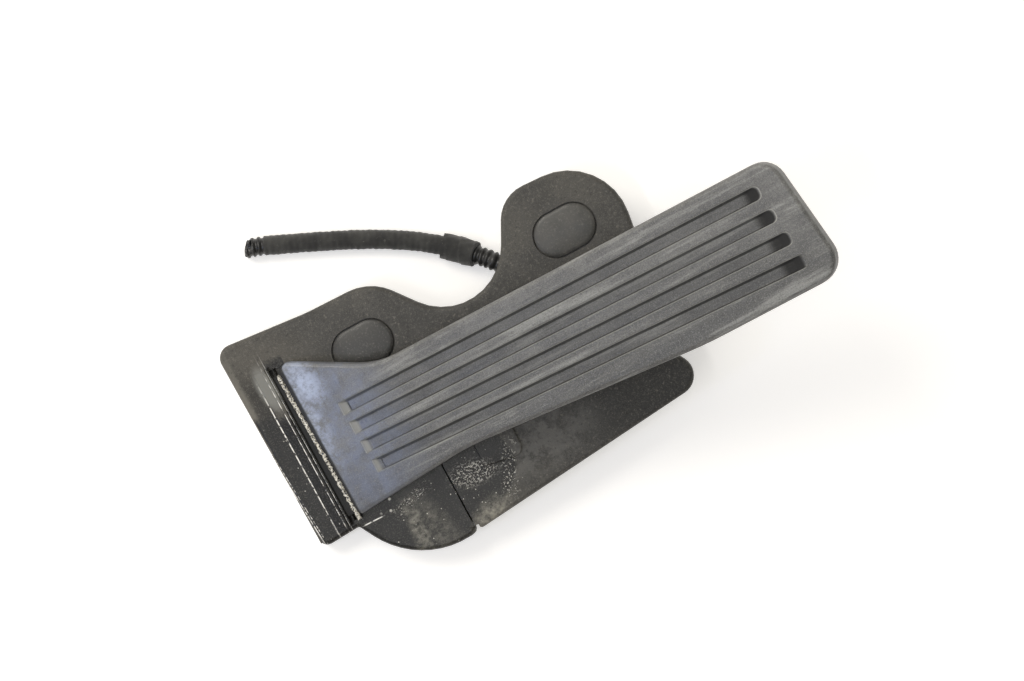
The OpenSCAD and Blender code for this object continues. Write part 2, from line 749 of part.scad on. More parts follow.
// Pedal pad with its hinge roll, grooves, ribs and track

skirt_slope = 2.4;

// Centre line of groove k: its two ends in the pad's plane
function groove_a(k) = [groove_near_u + 0.4 * k, groove_near_y - groove_pitch_near * k];
function groove_b(k) = [groove_far_u + groove_lean * k, groove_far_y - groove_pitch_far * k];

// Ring of a groove at one depth, drawn in from its mouth at the ends and at the sides
function groove_ring(k, end_in, side_in, z) =
    let (a = groove_a(k), b = groove_b(k), d = (b - a) / norm(b - a), s = [-d.y, d.x],
        w = groove_w / 2 - side_in, p = a + end_in * d, q = b - end_in * d)
    [for (c = [p - w * s, q - w * s, q + w * s, p + w * s]) [c.x, c.y, z]];

module groove(k) {
    loft([
        groove_ring(k, groove_ramp, 1.1, -groove_depth),
        groove_ring(k, groove_ramp * 0.55, 0.7, -groove_depth * 0.8),
        groove_ring(k, groove_ramp * 0.2, 0.35, -groove_depth * 0.3),
        groove_ring(k, 0, 0, 0),
        groove_ring(k, 0, 0, 0.5)
    ]);
}

module pad_below() {
    translate([0, -big / 2, -0.1]) rotate([0, skirt_slope, 0]) translate([-big / 2, 0, -big]) {
        cube([big, big, big]);
    }
    translate([0, -big / 2, tread_rise - pad_depth - big]) cube([big, big, big]);
}

// Hollow under the tread, closed by the same sloping foot as the skirt
module pad_hollow() {
    difference() {
        slab(pad_chain, skirt_t, -pad_depth - 2, tread_rise - tread_t);
        translate([-10, -big / 2, -big / 2]) cube([10 + 34, big, big]);
    }
}

module pad_ribs() {
    intersection() {
        slab(pad_chain, 1, -pad_depth - 2, tread_rise - 1);
        union() {
            for (k = [0:groove_n - 2]) {
                a = (groove_a(k) + groove_a(k + 1)) / 2;
                b = (groove_b(k) + groove_b(k + 1)) / 2;
                translate([a.x, a.y, -60]) rotate([0, 0, atan2(b.y - a.y, b.x - a.x)]) {
                    translate([0, -rib_t / 2, 0]) cube([big, rib_t, 60 + tread_rise - 1]);
                }
            }
            for (u = [62:30:pad_end - 20]) translate([u, -big / 2, -60]) cube([rib_t, big, 63]);
        }
    }
}

module pad_track() {
    w = roller_w + 3;
    z = -roller_drop + roller_r + track_gap;
    translate([track_u - 9, lever_y - w / 2, z]) difference() {
        cube([18, w, tread_rise - 1 - z]);
        for (side = [0, 1]) translate([3, side ? w - 2.6 : -1, 2.4]) cube([12, 3.6, 7]);
    }
}

module pedal_pad() color(grey_plastic) on_pad() {
    difference() {
        union() {
            difference() {
                translate([0, 0, tread_rise]) rounded_plate(pad_chain, pad_depth + 2, pad_edge_r);
                pad_hollow();
            }
            pad_ribs();
        }
        pad_below();
        translate([0, 0, tread_rise]) for (k = [0:groove_n - 1]) groove(k);
    }
    difference() {
        pad_track();
        translate([0, 0, tread_rise]) for (k = [0:groove_n - 1]) groove(k);
    }
    // Roll and the web that joins it to the tread
    along_y(roll_r, -62, 6.6);
    translate([0, 6.6, 0]) rotate([90, 0, 0]) linear_extrude(68.6) polygon([
        [0.2, roll_r - 0.4], [1.2, -0.9], [6, -0.5], [8, 1], [7.5, 2.6], [4.9, tread_rise - 2.1]
    ]);
}

// Lever on its shaft, with the roller in its fork

module lever() color(grey_plastic) on_lever() difference() {
    tip_r = 3.9;
    union() {
        translate([0, lever_w / 2, 0]) rotate([90, 0, 0]) linear_extrude(lever_w) polygon([
            [0, hub_r - 0.8], [lever_l * 0.4, 5.2], [lever_l, tip_r], [lever_l, -tip_r],
            [lever_l * 0.4, -4.4], [0, -hub_r + 0.8], [-tail.x, -tail.y], [-tail.x, 0.4]
        ]);
        along_y(hub_r, -lever_w / 2, lever_w / 2);
        translate([lever_l, 0, 0]) along_y(tip_r, -lever_w / 2, lever_w / 2);
        for (side = [-1, 1]) translate([spring_peg.x, side * (lever_w / 2 + 0.9), spring_peg.y]) {
            along_y(peg_r, -1.9, 1.9);
        }
    }
    along_y(shaft_d / 2 + fit_gap, -lever_w, lever_w);
    // Fork for the roller
    translate([lever_l - roller_r - 1.2, -roller_w / 2 - 0.35, -20]) cube([30, roller_w + 0.7, 40]);
    translate([lever_l, 0, 0]) along_y(roller_pin_d / 2 + fit_gap, -lever_w, lever_w);
    // Pockets that leave an I section
    for (side = [-1, 1]) translate([0, side * lever_w / 2, 0]) rotate([90, 0, 0]) {
        linear_extrude(6, center = true) polygon([
            [11, 3.9], [lever_l * 0.4, 3.4], [lever_l - 12, 2.6], [lever_l - 12, -2.6],
            [lever_l * 0.4, -2.8], [11, -3.9]
        ]);
    }
}

module lever_shaft() color(steel) translate([shaft_x, lever_y, shaft_z]) difference() {
    along_y(shaft_d / 2, -housing_w / 2 - housing_wall - 2.4, housing_w / 2 + housing_wall + 0.8);
    difference() {
        along_y(shaft_d, -housing_w / 2 - housing_wall - 1.4, -housing_w / 2 - housing_wall - 0.5);
        along_y(shaft_d / 2 - 0.7, -housing_w, 0);
    }
    along_y(shaft_d / 2 - 1.2, housing_w / 2 + housing_wall - 2.2, housing_w);
}

module shaft_magnet() color(spring_steel) translate([shaft_x, lever_y, shaft_z]) {
    along_y(shaft_d / 2 - 1.2 - fit_gap, housing_w / 2 + housing_wall - 2.2,
        housing_w / 2 + housing_wall + 0.6);
}

module shaft_circlip() color(spring_steel) translate([shaft_x, lever_y, shaft_z]) difference() {
    y = -housing_w / 2 - housing_wall - 1.35;
    along_y(shaft_d / 2 + 1.8, y, y + 0.8);
    along_y(shaft_d / 2 - 0.65, y - 1, y + 2);
    translate([-2.6, y - 1, 0]) cube([5.2, 3, 20]);
}

module roller_pin() color(steel) on_lever() translate([lever_l, 0, 0]) {
    along_y(roller_pin_d / 2, -lever_w / 2, lever_w / 2);
}

module roller() color(grey_plastic) on_lever() translate([lever_l, 0, 0]) difference() {
    rotate([-90, 0, 0]) rotate_extrude() polygon([
        [roller_pin_d / 2 + run_gap, -roller_w / 2], [roller_r - 0.5, -roller_w / 2],
        [roller_r, -roller_w / 2 + 0.5], [roller_r, roller_w / 2 - 0.5],
        [roller_r - 0.5, roller_w / 2], [roller_pin_d / 2 + run_gap, roller_w / 2]
    ]);
}

base_plate();
side_wing();
hinge_retainer();
lower_bolt_cap();
upper_bolt_cap();
lower_mounting_sleeve();
upper_mounting_sleeve();
mechanism_housing();
housing_screws();
wing_screws();
shaft_bush_left();
shaft_bush_right();
return_spring_left();
return_spring_right();
idle_stop();
full_stroke_bumper();
position_sensor();
sensor_screws();
harness_plug();
plug_grommet();
harness_conduit();
tape_collar();
pedal_pad();
lever();
lever_shaft();
shaft_magnet();
shaft_circlip();
roller_pin();
roller();
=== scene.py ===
# %% [markdown]
# # A floor-hinged accelerator pedal
# A long grooved pad turns on a roll at its lower end and presses a sprung lever under a moulded base plate.
# The solids of every piece come ready from CAD as a fixed frame. This lesson dresses them: it models what
# shows again with the detail that the real mouldings have, and gives every piece a finish of its own.

# %% The frame and its size
import math
import bpy
import bmesh
from mathutils import Matrix, Vector


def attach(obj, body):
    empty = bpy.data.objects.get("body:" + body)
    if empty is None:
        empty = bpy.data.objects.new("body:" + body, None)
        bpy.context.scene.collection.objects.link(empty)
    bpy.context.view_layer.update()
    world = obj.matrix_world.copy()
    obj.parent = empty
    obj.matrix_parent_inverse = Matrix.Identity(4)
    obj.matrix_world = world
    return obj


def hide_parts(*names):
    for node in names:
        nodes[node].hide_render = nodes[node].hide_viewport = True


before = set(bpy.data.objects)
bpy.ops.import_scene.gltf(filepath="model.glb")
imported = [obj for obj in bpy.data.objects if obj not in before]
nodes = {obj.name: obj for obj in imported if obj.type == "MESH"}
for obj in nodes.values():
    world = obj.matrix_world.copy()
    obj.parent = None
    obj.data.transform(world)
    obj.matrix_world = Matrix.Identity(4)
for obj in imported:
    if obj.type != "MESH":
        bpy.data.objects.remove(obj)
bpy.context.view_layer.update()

MM = 0.001
scene = bpy.context.scene

# %% [markdown]
# ## Camera
# The part lies on a white table and was photographed from straight above with a long lens, a little over a
# metre away. The picture is turned about 28 degrees, so the pad rises toward the upper right.

# %% Camera
camera_data = bpy.data.cameras.new("camera_above_table")
camera = bpy.data.objects.new("camera_above_table", camera_data)
scene.collection.objects.link(camera)
camera.location = (57.98 * MM, -28.76 * MM, 1060 * MM)
camera.rotation_euler = (0, 0, math.radians(-28.5))
camera_data.lens = 84.375
camera_data.sensor_width = 36
camera_data.clip_start, camera_data.clip_end = 0.05, 20
scene.camera = camera
print("camera height, m:", round(camera.location.z, 3))

# %% [markdown]
# ## Working by selection
# Edit-mode operators act on what is selected. These small helpers select one object, or the faces, edges or
# vertices that pass a test, so that each step below reads as it would be done by hand. A piece is shaped in
# its own flat plane and then laid on the sloping plate or pad with its place applied to its mesh.

# %% Helpers for selecting and placing
PLATE = Matrix.Translation((0, 0, 18 * MM)) @ Matrix.Rotation(math.radians(-6), 4, "Y")
PAD = Matrix.Translation((-40.2 * MM, 0, 14.3 * MM)) @ Matrix.Rotation(math.radians(-22), 4, "Y")


def only(*objects):
    bpy.ops.object.select_all(action="DESELECT")
    for o in objects:
        o.select_set(True)
    bpy.context.view_layer.objects.active = objects[0]


def edit(obj, mode="FACE"):
    only(obj)
    bpy.ops.object.mode_set(mode="EDIT")
    bpy.ops.mesh.select_mode(type=mode)


def done():
    bpy.ops.object.mode_set(mode="OBJECT")


def pick(obj, kind, test):
    bpy.ops.mesh.select_all(action="DESELECT")
    mesh = bmesh.from_edit_mesh(obj.data)
    chosen = [e for e in getattr(mesh, kind) if test(e)]
    for e in chosen:
        e.select_set(True)
    mesh.select_flush_mode()
    bmesh.update_edit_mesh(obj.data)
    return len(chosen)


def lay(obj, matrix=Matrix.Identity(4)):
    only(obj)
    obj.matrix_world = matrix @ obj.matrix_world
    bpy.ops.object.transform_apply(location=True, rotation=True, scale=True)
    return obj


def modifier(obj, kind, **settings):
    only(obj)
    bpy.ops.object.modifier_add(type=kind)
    m = obj.modifiers[-1]
    for key, value in settings.items():
        setattr(m, key, value)
    bpy.ops.object.modifier_apply(modifier=m.name)
    return obj


def smooth(obj, degrees=35):
    only(obj)
    bpy.ops.object.shade_smooth_by_angle(angle=math.radians(degrees))
    return obj


def own(obj, body, material, slot, *replaced):
    """Gives a finished piece its body and its finish, and hides the CAD nodes that it stands for."""
    obj.data.materials.clear()
    obj.data.materials.append(material)
    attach(obj, body)
    if replaced:
        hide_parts(*replaced)
    return obj

# %% [markdown]
# ## Materials from real ones
# Colours are written as the sRGB hex values that a picture editor shows, and one function turns them into
# the linear values that the shader wants. Pattern sizes are given in millimetres: `grains` turns the size of
# a grain into the scale of a noise on Object coordinates, which are in metres. One function adds any node.

# %% Colour, scale and node helpers
def tint(text):
    rgb = [int(text[i:i + 2], 16) / 255 for i in (1, 3, 5)]
    return (*[c / 12.92 if c <= 0.04045 else ((c + 0.055) / 1.055) ** 2.4 for c in rgb], 1.0)


def feed(node, inputs):
    """Gives inputs of a node a value each, or links them to another node or to one of its outputs."""
    for key, value in inputs.items():
        if isinstance(value, bpy.types.Node):
            value = next(o for o in value.outputs if o.enabled)
        if isinstance(value, bpy.types.NodeSocket):
            node.id_data.links.new(value, node.inputs[key])
        else:
            node.inputs[key].default_value = value


def add(tree, kind, inputs=(), **settings):
    """Adds one node with its settings, and feeds its inputs, named or numbered."""
    n = tree.nodes.new(kind)
    for key, value in settings.items():
        setattr(n, key, value)
    feed(n, dict(inputs))
    return n


def grains(place, size_mm, detail=4, rough=0.7):
    """The inputs of a noise whose grains have that size."""
    return {"Vector": place, "Scale": 1 / (size_mm * MM), "Detail": detail, "Roughness": rough}


def rising(value, low, high, to_low=0.0, to_high=1.0):
    """The inputs of a range that turns low..high into to_low..to_high."""
    return {"Value": value, "From Min": low, "From Max": high, "To Min": to_low, "To Max": to_high}

# %% [markdown]
# ## Masks and layers
# A finish is built as a painter would: a ground colour, then thin layers, each where its mask is 1. A mask is
# a mottled noise, an ellipse, a bar or a band along an axis, and masks are joined by their product (where all
# are on) or their largest value (where any is on).

# %% Masks and colour layers
SOFT = "SMOOTHSTEP"


def finish(name):
    """A new material with its tree, its shader and the Object coordinates."""
    m = bpy.data.materials.new(name)
    m.use_nodes = True
    tree = m.node_tree
    return m, tree, tree.nodes["Principled BSDF"], add(tree, "ShaderNodeTexCoord").outputs["Object"]


def where_all(tree, *masks):
    out = masks[0]
    for mask in masks[1:]:
        out = add(tree, "ShaderNodeMath", {0: out, 1: mask}, operation="MULTIPLY")
    return out


def where_any(tree, *masks):
    out = masks[0]
    for mask in masks[1:]:
        out = add(tree, "ShaderNodeMath", {0: out, 1: mask}, operation="MAXIMUM")
    return out


def mottle(tree, place, size_mm, low, high, detail=4, rough=0.7, to=(0.0, 1.0)):
    """Patches of a noise of that size: to[0] where it is under low, to[1] where it is over high."""
    n = add(tree, "ShaderNodeTexNoise", grains(place, size_mm, detail, rough))
    return add(tree, "ShaderNodeMapRange", rising(n, low, high, *to), interpolation_type=SOFT)


def patch(tree, place, centre_mm, size_mm, turn=0.0, soft=0.6):
    """1 inside a soft-edged ellipsoid round a point, 0 well outside it."""
    at = add(tree, "ShaderNodeMapping", {
        "Vector": place, "Location": Vector(centre_mm) * MM, "Rotation": (0, 0, math.radians(turn)),
        "Scale": Vector(size_mm) * MM}, vector_type="TEXTURE")
    far = add(tree, "ShaderNodeVectorMath", {0: at}, operation="LENGTH")
    return add(tree, "ShaderNodeMapRange", rising(far, 1 - soft, 1 + soft, 1.0, 0.0), interpolation_type=SOFT)


def lay_colour(tree, colour, mask, paint, share=1.0):
    """Lays a colour over what is there, as thickly as the mask times the share."""
    amount = where_all(tree, mask, share)
    return add(tree, "ShaderNodeMix", {0: amount, 6: colour, 7: tint(paint)}, data_type="RGBA")


def dress(tree, shader, colour, roughness, height, strength, depth_mm):
    """Gives the shader its colour, its roughness and a bump of that depth."""
    bump = add(tree, "ShaderNodeBump", {"Height": height, "Strength": strength, "Distance": depth_mm * MM})
    feed(shader, {"Base Color": colour, "Roughness": roughness, "Normal": bump})


print("helpers ready")

# %% [markdown]
# ## Soft edges on CAD solids
# A moulding has no sharp edge: every outer edge carries a radius of a few tenths of a millimetre, and it is
# that thin bright line that makes a part look real. The CAD solids come as loose triangles, so each one is
# copied, its points are merged, flat neighbours are joined, and its edges get that radius before shading.

# %% Soft-edged copies of the CAD mouldings
def even_normals(obj):
    """Lets the large flat faces rule the shading, so that long thin ones beside them make no streaks."""
    return modifier(obj, "WEIGHTED_NORMAL", keep_sharp=True, weight=60)


def merged_copy(node, place=Matrix.Identity(4)):
    """A copy of a CAD node with its points merged, left open in edit mode with everything selected."""
    source = nodes[node]
    copy = source.copy()
    copy.data = source.data.copy()
    copy.name = node + "_dressed"
    scene.collection.objects.link(copy)
    copy.parent = None
    copy.matrix_world = source.matrix_world.copy()
    lay(copy, place)
    edit(copy, "VERT")
    bpy.ops.mesh.select_all(action="SELECT")
    bpy.ops.mesh.remove_doubles(threshold=4e-6)
    return copy


def moulding(node, radius_mm, limit=32):
    """A shaded copy of a CAD node with a small radius on each edge that is sharper than the limit."""
    copy = merged_copy(node)
    bpy.ops.mesh.dissolve_limited(angle_limit=math.radians(1.2))
    bpy.ops.mesh.normals_make_consistent(inside=False)
    done()
    modifier(copy, "BEVEL", width=radius_mm * MM, segments=2, limit_method="ANGLE",
             angle_limit=math.radians(limit), use_clamp_overlap=True, harden_normals=False)
    return even_normals(smooth(copy, 40))


def triangles(obj):
    return sum(len(face.vertices) - 2 for face in obj.data.polygons)


print("soft-edge helpers ready")

# %% [markdown]
# ## Harness materials
# The harness is a corrugated polypropylene tube wound with woven cloth tape. Cloth tape is matt black cotton
# or polyester with a fine weave, so its sheen is broad and dusty. Its weave is only 0.3 mm, so it is drawn a
# little coarser to show, along and around the tube from two attributes of the mesh.

# %% Woven tape and corrugated tube
THREAD_MM = 0.7


def woven_tape(name):
    m, tree, shader, place = finish(name)
    threads = []
    for way in ("along_mm", "around_mm"):
        at = add(tree, "ShaderNodeAttribute", attribute_name=way).outputs["Fac"]
        turns = add(tree, "ShaderNodeMath", {0: at, 1: 2 * math.pi / THREAD_MM}, operation="MULTIPLY")
        threads.append(add(tree, "ShaderNodeMath", {0: turns}, operation="SINE"))
    weave = where_all(tree, *threads, 0.35)
    lint = add(tree, "ShaderNodeTexNoise", grains(place, 1.6))
    height = add(tree, "ShaderNodeMath", {0: weave, 1: lint}, operation="ADD")
    colour = lay_colour(tree, tint("#242423"), mottle(tree, place, 9, 0.35, 0.7, 3, 0.6), "#3a3a37")
    colour = lay_colour(tree, colour, mottle(tree, place, 1.6, 0.6, 0.78), "#5f5e59")
    dress(tree, shader, colour, 0.85, height, 0.5, 0.12)
    shader.inputs["Sheen Weight"].default_value = 0.35
    shader.inputs["Sheen Roughness"].default_value = 0.5
    return m


def moulded_black(name, dark, pale, grain_mm, rough, depth_mm=0.03):
    """Plain moulded polymer: two near tones, a fine grain and a roughness that wanders a little."""
    m, tree, shader, place = finish(name)
    colour = lay_colour(tree, tint(dark), mottle(tree, place, 14, 0.3, 0.7, 4, 0.6), pale)
    roughness = mottle(tree, place, 14, 0.3, 0.7, 4, 0.6, to=(rough - 0.06, rough + 0.08))
    grain = add(tree, "ShaderNodeTexNoise", grains(place, grain_mm, 2, 0.6))
    dress(tree, shader, colour, roughness, grain, 0.5, depth_mm)
    return m


cloth_tape = woven_tape("woven_cloth_tape")
loom_plastic = moulded_black("polypropylene_corrugated_tube", "#1b1b1b", "#292928", 0.8, 0.34)
sensor_finish = moulded_black("pbt_sensor_housing", "#232324", "#2e2e2e", 0.9, 0.38)
rubber = moulded_black("moulded_rubber", "#171717", "#222221", 0.9, 0.72, 0.05)
print("tape, tube, plug and rubber finishes ready")

# %% [markdown]
# ## The harness stub
# The tube leaves its plug under the ear, rises out of the bay and lies on the table, where it is cut off.
# A free cord is swept as rings along its real centreline, so that ridges, tape laps and the slanting cut can
# be functions of the length and the angle. The route's points are the ones that the CAD tube follows.

# %% Route of the harness
ROUTE = [Vector(p) * MM for p in [
    (69.7, 2.8, 11), (67.82, 5.21, 11), (65.8, 7.8, 10), (63, 10.8, 8.6), (60, 14, 7.2),
    (56.8, 17.2, 6.3), (53.4, 20.4, 6.1), (50, 23.3, 6), (46, 26.5, 5.6), (41, 30.2, 5),
    (35.8, 33.5, 4.6), (30, 37, 4.5), (24.2, 40.2, 4.5), (16.4, 44.2, 4.5), (8.6, 47.9, 4.5),
    (0.6, 51.6, 4.5), (-7.4, 55.2, 4.5), (-14.6, 58.4, 4.5), (-21, 61, 4.5), (-27, 62.8, 4.5)]]


def smooth_route(points, step):
    """Points at equal steps on a curve through all the given ones (Catmull-Rom)."""
    p = [2 * points[0] - points[1], *points, 2 * points[-1] - points[-2]]
    fine = []
    for i in range(1, len(p) - 2):
        for k in range(40):
            t = k / 40
            fine.append(0.5 * (2 * p[i] + (p[i + 1] - p[i - 1]) * t
                               + (2 * p[i - 1] - 5 * p[i] + 4 * p[i + 1] - p[i + 2]) * t ** 2
                               + (3 * p[i] - p[i - 1] - 3 * p[i + 1] + p[i + 2]) * t ** 3))
    fine.append(points[-1].copy())
    out, gone = [fine[0]], 0.0
    length = sum((b - a).length for a, b in zip(fine, fine[1:]))
    step = length / round(length / step)
    for a, b in zip(fine, fine[1:]):
        d = (b - a).length
        while gone + d >= step * len(out) - 1e-9 and len(out) * step <= length + 1e-9:
            out.append(a.lerp(b, (step * len(out) - gone) / d))
        gone += d
    return out, length


line, cord_length = smooth_route(ROUTE, 0.45 * MM)
print("harness length, mm:", round(cord_length / MM, 1), "rings:", len(line))

# %% Sweeping rings along the route
def cross_frames(points):
    """For each point the direction along the route and two across it, carried along without twist."""
    frames, up = [], Vector((0, 0, 1))
    for i in range(len(points)):
        d = (points[min(i + 1, len(points) - 1)] - points[max(i - 1, 0)]).normalized()
        side = d.cross(up).normalized()
        up = side.cross(d).normalized()
        frames.append((d, side, up))
    return frames


def swept(name, rings, sides, part_of_ring):
    """A closed tube through rings of points; part_of_ring gives each ring's material number."""
    mesh = bpy.data.meshes.new(name)
    bm = bmesh.new()
    along = bm.verts.layers.float.new("along_mm")
    around = bm.verts.layers.float.new("around_mm")
    made = []
    for s, ring in rings:
        row = []
        for k, (p, arc) in enumerate(ring):
            v = bm.verts.new(p)
            v[along], v[around] = s / MM, arc / MM
            row.append(v)
        made.append(row)
    for i in range(len(made) - 1):
        for k in range(sides):
            after = (k + 1) % sides
            f = bm.faces.new((made[i][k], made[i][after], made[i + 1][after], made[i + 1][k]))
            f.smooth, f.material_index = True, part_of_ring(i)
    for row in (made[0][::-1], made[-1]):
        bm.faces.new(row).material_index = 1
    bmesh.ops.recalc_face_normals(bm, faces=bm.faces)
    bm.to_mesh(mesh)
    bm.free()
    obj = bpy.data.objects.new(name, mesh)
    scene.collection.objects.link(obj)
    return obj


frames_on_line = cross_frames(line)
SIDES = 40
step = cord_length / (len(line) - 1)
TAPE_FROM, TAPE_TO = 17 * MM, cord_length - 9.5 * MM


def ridge(s, pitch=2.7 * MM):
    """Rounded ridges of a corrugated tube: 1 on a crest, 0 in a groove."""
    return 0.5 + 0.5 * math.tanh(2.2 * math.sin(2 * math.pi * s / pitch)) / math.tanh(2.2)


def skin_radius(s, angle):
    if s < TAPE_FROM or s > TAPE_TO:
        return (3.55 + 0.75 * ridge(s)) * MM
    lap = ((s / (7.5 * MM)) - angle / (2 * math.pi)) % 1.0
    ends = min(1.0, (s - TAPE_FROM) / (1.2 * MM), (TAPE_TO - s) / (0.6 * MM))
    wrinkle = math.sin(s / (1.9 * MM) + 2 * math.sin(3 * angle)) * math.sin(s / (5.3 * MM) + angle)
    return (4.12 + 0.14 * ridge(s) + 0.16 * lap * ends + 0.05 * wrinkle) * MM


# %% Building the taped tube with its slanting cut
def ring_at(s, radius, cut=0.0):
    """A ring round the route at length s; cut slides its upper side back toward the object."""
    ring = []
    for k in range(SIDES):
        a = 2 * math.pi * k / SIDES
        here = s - cut * (0.5 + 0.5 * math.cos(a - 0.5))
        i = min(max(here / step, 0), len(line) - 1.001)
        j = int(i)
        centre = line[j].lerp(line[j + 1], i - j)
        d, side, up = frames_on_line[j]
        r = radius(here, a) if callable(radius) else radius
        ring.append((centre + r * (math.cos(a) * up + math.sin(a) * side), a * 4.4 * MM))
    return ring


rings = [(i * step, ring_at(i * step, skin_radius)) for i in range(len(line) - 20)]
outer = len(rings)
start = (outer - 1) * step
for k in range(1, 21):
    s = start + (cord_length - start) * k / 20
    rings.append((s, ring_at(s, skin_radius, cut=4.6 * MM * k / 20)))
for k in range(1, 13):
    s = cord_length - 0.75 * MM * k
    rings.append((s, ring_at(s, lambda t, a: (2.75 + 0.6 * ridge(t)) * MM, cut=4.6 * MM * (1 - k / 14))))


def tape_or_tube(i):
    return 0 if TAPE_FROM <= rings[i][0] <= TAPE_TO and i < outer else 1


harness = swept("harness_tube", rings, SIDES, tape_or_tube)
print("harness triangles:", 2 * SIDES * len(rings))
harness.data.materials.append(cloth_tape)
harness.data.materials.append(loom_plastic)
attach(harness, "base")
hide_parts("harness_conduit")

# %% [markdown]
# ## The tape collar
# Where the tape starts, it was wound several times over itself. The thick wrap has crisp shoulders, a loose
# tape end and a slight waist, so it is swept the same way with its own profile.

# %% Tape collar
def collar_radius(t, a):
    lap = ((t * 2.2) - a / (2 * math.pi)) % 1.0
    bump = 0.12 * math.sin(9 * a + 14 * t) * math.sin(5 * t)
    return (5.75 + 0.3 * lap - 0.3 * (2 * t - 1) ** 2 + bump) * MM


lengths = [0.0]
for a, b in zip(ROUTE, ROUTE[1:]):
    lengths.append(lengths[-1] + (b - a).length)
collar_from, collar_to = lengths[4] - 2.8 * MM, lengths[7] - 1.2 * MM
collar_rings = [(collar_from, ring_at(collar_from, 4.2 * MM))]
for k in range(29):
    t = k / 28
    s = collar_from + (collar_to - collar_from) * t
    collar_rings.append((s, ring_at(s, lambda h, a, t=t: collar_radius(t, a))))
collar_rings.append((collar_to, ring_at(collar_to, 4.3 * MM)))
collar = swept("tape_collar_wrap", collar_rings, SIDES, lambda i: 0)
collar.data.materials.append(cloth_tape)
collar.data.materials.append(cloth_tape)
smooth(collar, 50)
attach(collar, "base")
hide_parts("tape_collar")
plug = own(moulding("harness_plug", 0.25, limit=40), "base", sensor_finish, "sensor_plastic", "harness_plug")
seal = own(moulding("plug_grommet", 0.3, limit=40), "base", rubber, "stop_rubber", "plug_grommet")
print("collar length, mm:", round((collar_to - collar_from) / MM, 1))

# %% [markdown]
# ## Table and light
# The table is white paper lit so well that only the deepest shadow under the plate shows. The floor keeps a
# true white diffuse colour for the shadow, and the camera and mirror-like rays see a little white added.
# Four plain lamps: a soft key from the upper left, a bluish window low over the hinge end, which the tilted
# pad mirrors, a long strip that wet spots on the flatter plate mirror, and a small soft one near the camera.

# %% Table
bpy.ops.mesh.primitive_plane_add(size=9)
table = bpy.context.object
table.name = "table"
paper = bpy.data.materials.new("white_table_paper")
paper.use_nodes = True
tree = paper.node_tree
tree.nodes.remove(tree.nodes["Principled BSDF"])
rays = add(tree, "ShaderNodeLightPath").outputs
seen = where_any(tree, rays["Is Camera Ray"], rays["Is Glossy Ray"], rays["Is Transmission Ray"])
white = add(tree, "ShaderNodeBsdfDiffuse", {"Color": tint("#f4f3f0")})
glow = add(tree, "ShaderNodeEmission", {"Color": (1, 1, 1, 1), "Strength": where_all(tree, seen, 0.36)})
both = add(tree, "ShaderNodeAddShader", {0: white, 1: glow})
feed(tree.nodes["Material Output"], {"Surface": both})
table.data.materials.append(paper)

# %% World
world = bpy.data.worlds.new("white_studio")
scene.world = world
world.use_nodes = True
tree = world.node_tree
way = add(tree, "ShaderNodeSeparateXYZ", {0: add(tree, "ShaderNodeTexCoord").outputs["Generated"]}).outputs
low = add(tree, "ShaderNodeMapRange", rising(way["Z"], 0.1, 0.95, 1.0, 0.0))
room = 0.34
for part, share in ((low, 0.42), (way["Y"], 0.16), (way["X"], -0.06)):
    room = add(tree, "ShaderNodeMath", {0: part, 1: share, 2: room}, operation="MULTIPLY_ADD")
rays = add(tree, "ShaderNodeLightPath").outputs
seen = where_any(tree, rays["Is Camera Ray"], rays["Is Transmission Ray"])
strength = add(tree, "ShaderNodeMix", {0: seen, 2: room, 3: 1.0}, data_type="FLOAT")
feed(tree.nodes["Background"], {"Color": tint("#fffaf3"), "Strength": strength})
scene.view_settings.view_transform = "Standard"

# %% Lamps
def lamp(name, at, toward, width, length, watts, colour="#ffffff"):
    data = bpy.data.lights.new(name, "AREA")
    data.shape, data.size, data.size_y, data.energy = "RECTANGLE", width, length, watts
    data.color = tint(colour)[:3]
    obj = bpy.data.objects.new(name, data)
    scene.collection.objects.link(obj)
    obj.location = at
    aim = Vector(toward) - Vector(at)
    obj.rotation_euler = aim.to_track_quat("-Z", "Y").to_euler()
    obj.visible_camera = False
    return obj


lamp("key_softbox", (-0.35, 0.95, 1.25), (0.06, -0.03, 0.02), 0.75, 0.75, 12, "#fffaf2")
lamp("window", (-0.86, -0.01, 0.76), (-0.02, -0.03, 0.02), 0.13, 0.2, 1.25, "#b4c6f5")
strip = lamp("strip_light", (-0.40, -0.14, 1.3), (-0.02, -0.08, 0.02), 0.06, 0.55, 2.4)
strip.rotation_euler = (0, math.radians(-16), 0)
lamp("camera_softbox", (0.05, 0.0, 1.35), (0.05, -0.03, 0.0), 0.3, 0.3, 1.2)

# %% [markdown]
# ## Marks that lie at a place
# Wear, oil and dried residue lie where they happened, and painted highlights and shade lie where the lamps
# put them, so their masks are places in the row frame: a stroke is 1 along a straight line, a speck pattern
# is 1 inside small round cells, and a band starts at a height.

# %% Strokes, specks and bands
def stroke(tree, place, a_mm, b_mm, width_mm, soft=0.35):
    """1 along a bar from a to b, seen from above, and 0 beside it."""
    a, b = Vector(a_mm), Vector(b_mm)
    middle, run = (a + b) / 2, b - a
    at = add(tree, "ShaderNodeMapping", {
        "Vector": place, "Location": (*(middle * MM), 0), "Rotation": (0, 0, math.atan2(run.y, run.x)),
        "Scale": (run.length / 2 * MM, width_mm / 2 * MM, MM)}, vector_type="TEXTURE")
    xyz = add(tree, "ShaderNodeSeparateXYZ", {0: at}).outputs
    far = where_any(tree, *[add(tree, "ShaderNodeMath", {0: xyz[k]}, operation="ABSOLUTE") for k in (0, 1)])
    return add(tree, "ShaderNodeMapRange", rising(far, 1 - soft, 1 + soft, 1.0, 0.0), interpolation_type=SOFT)


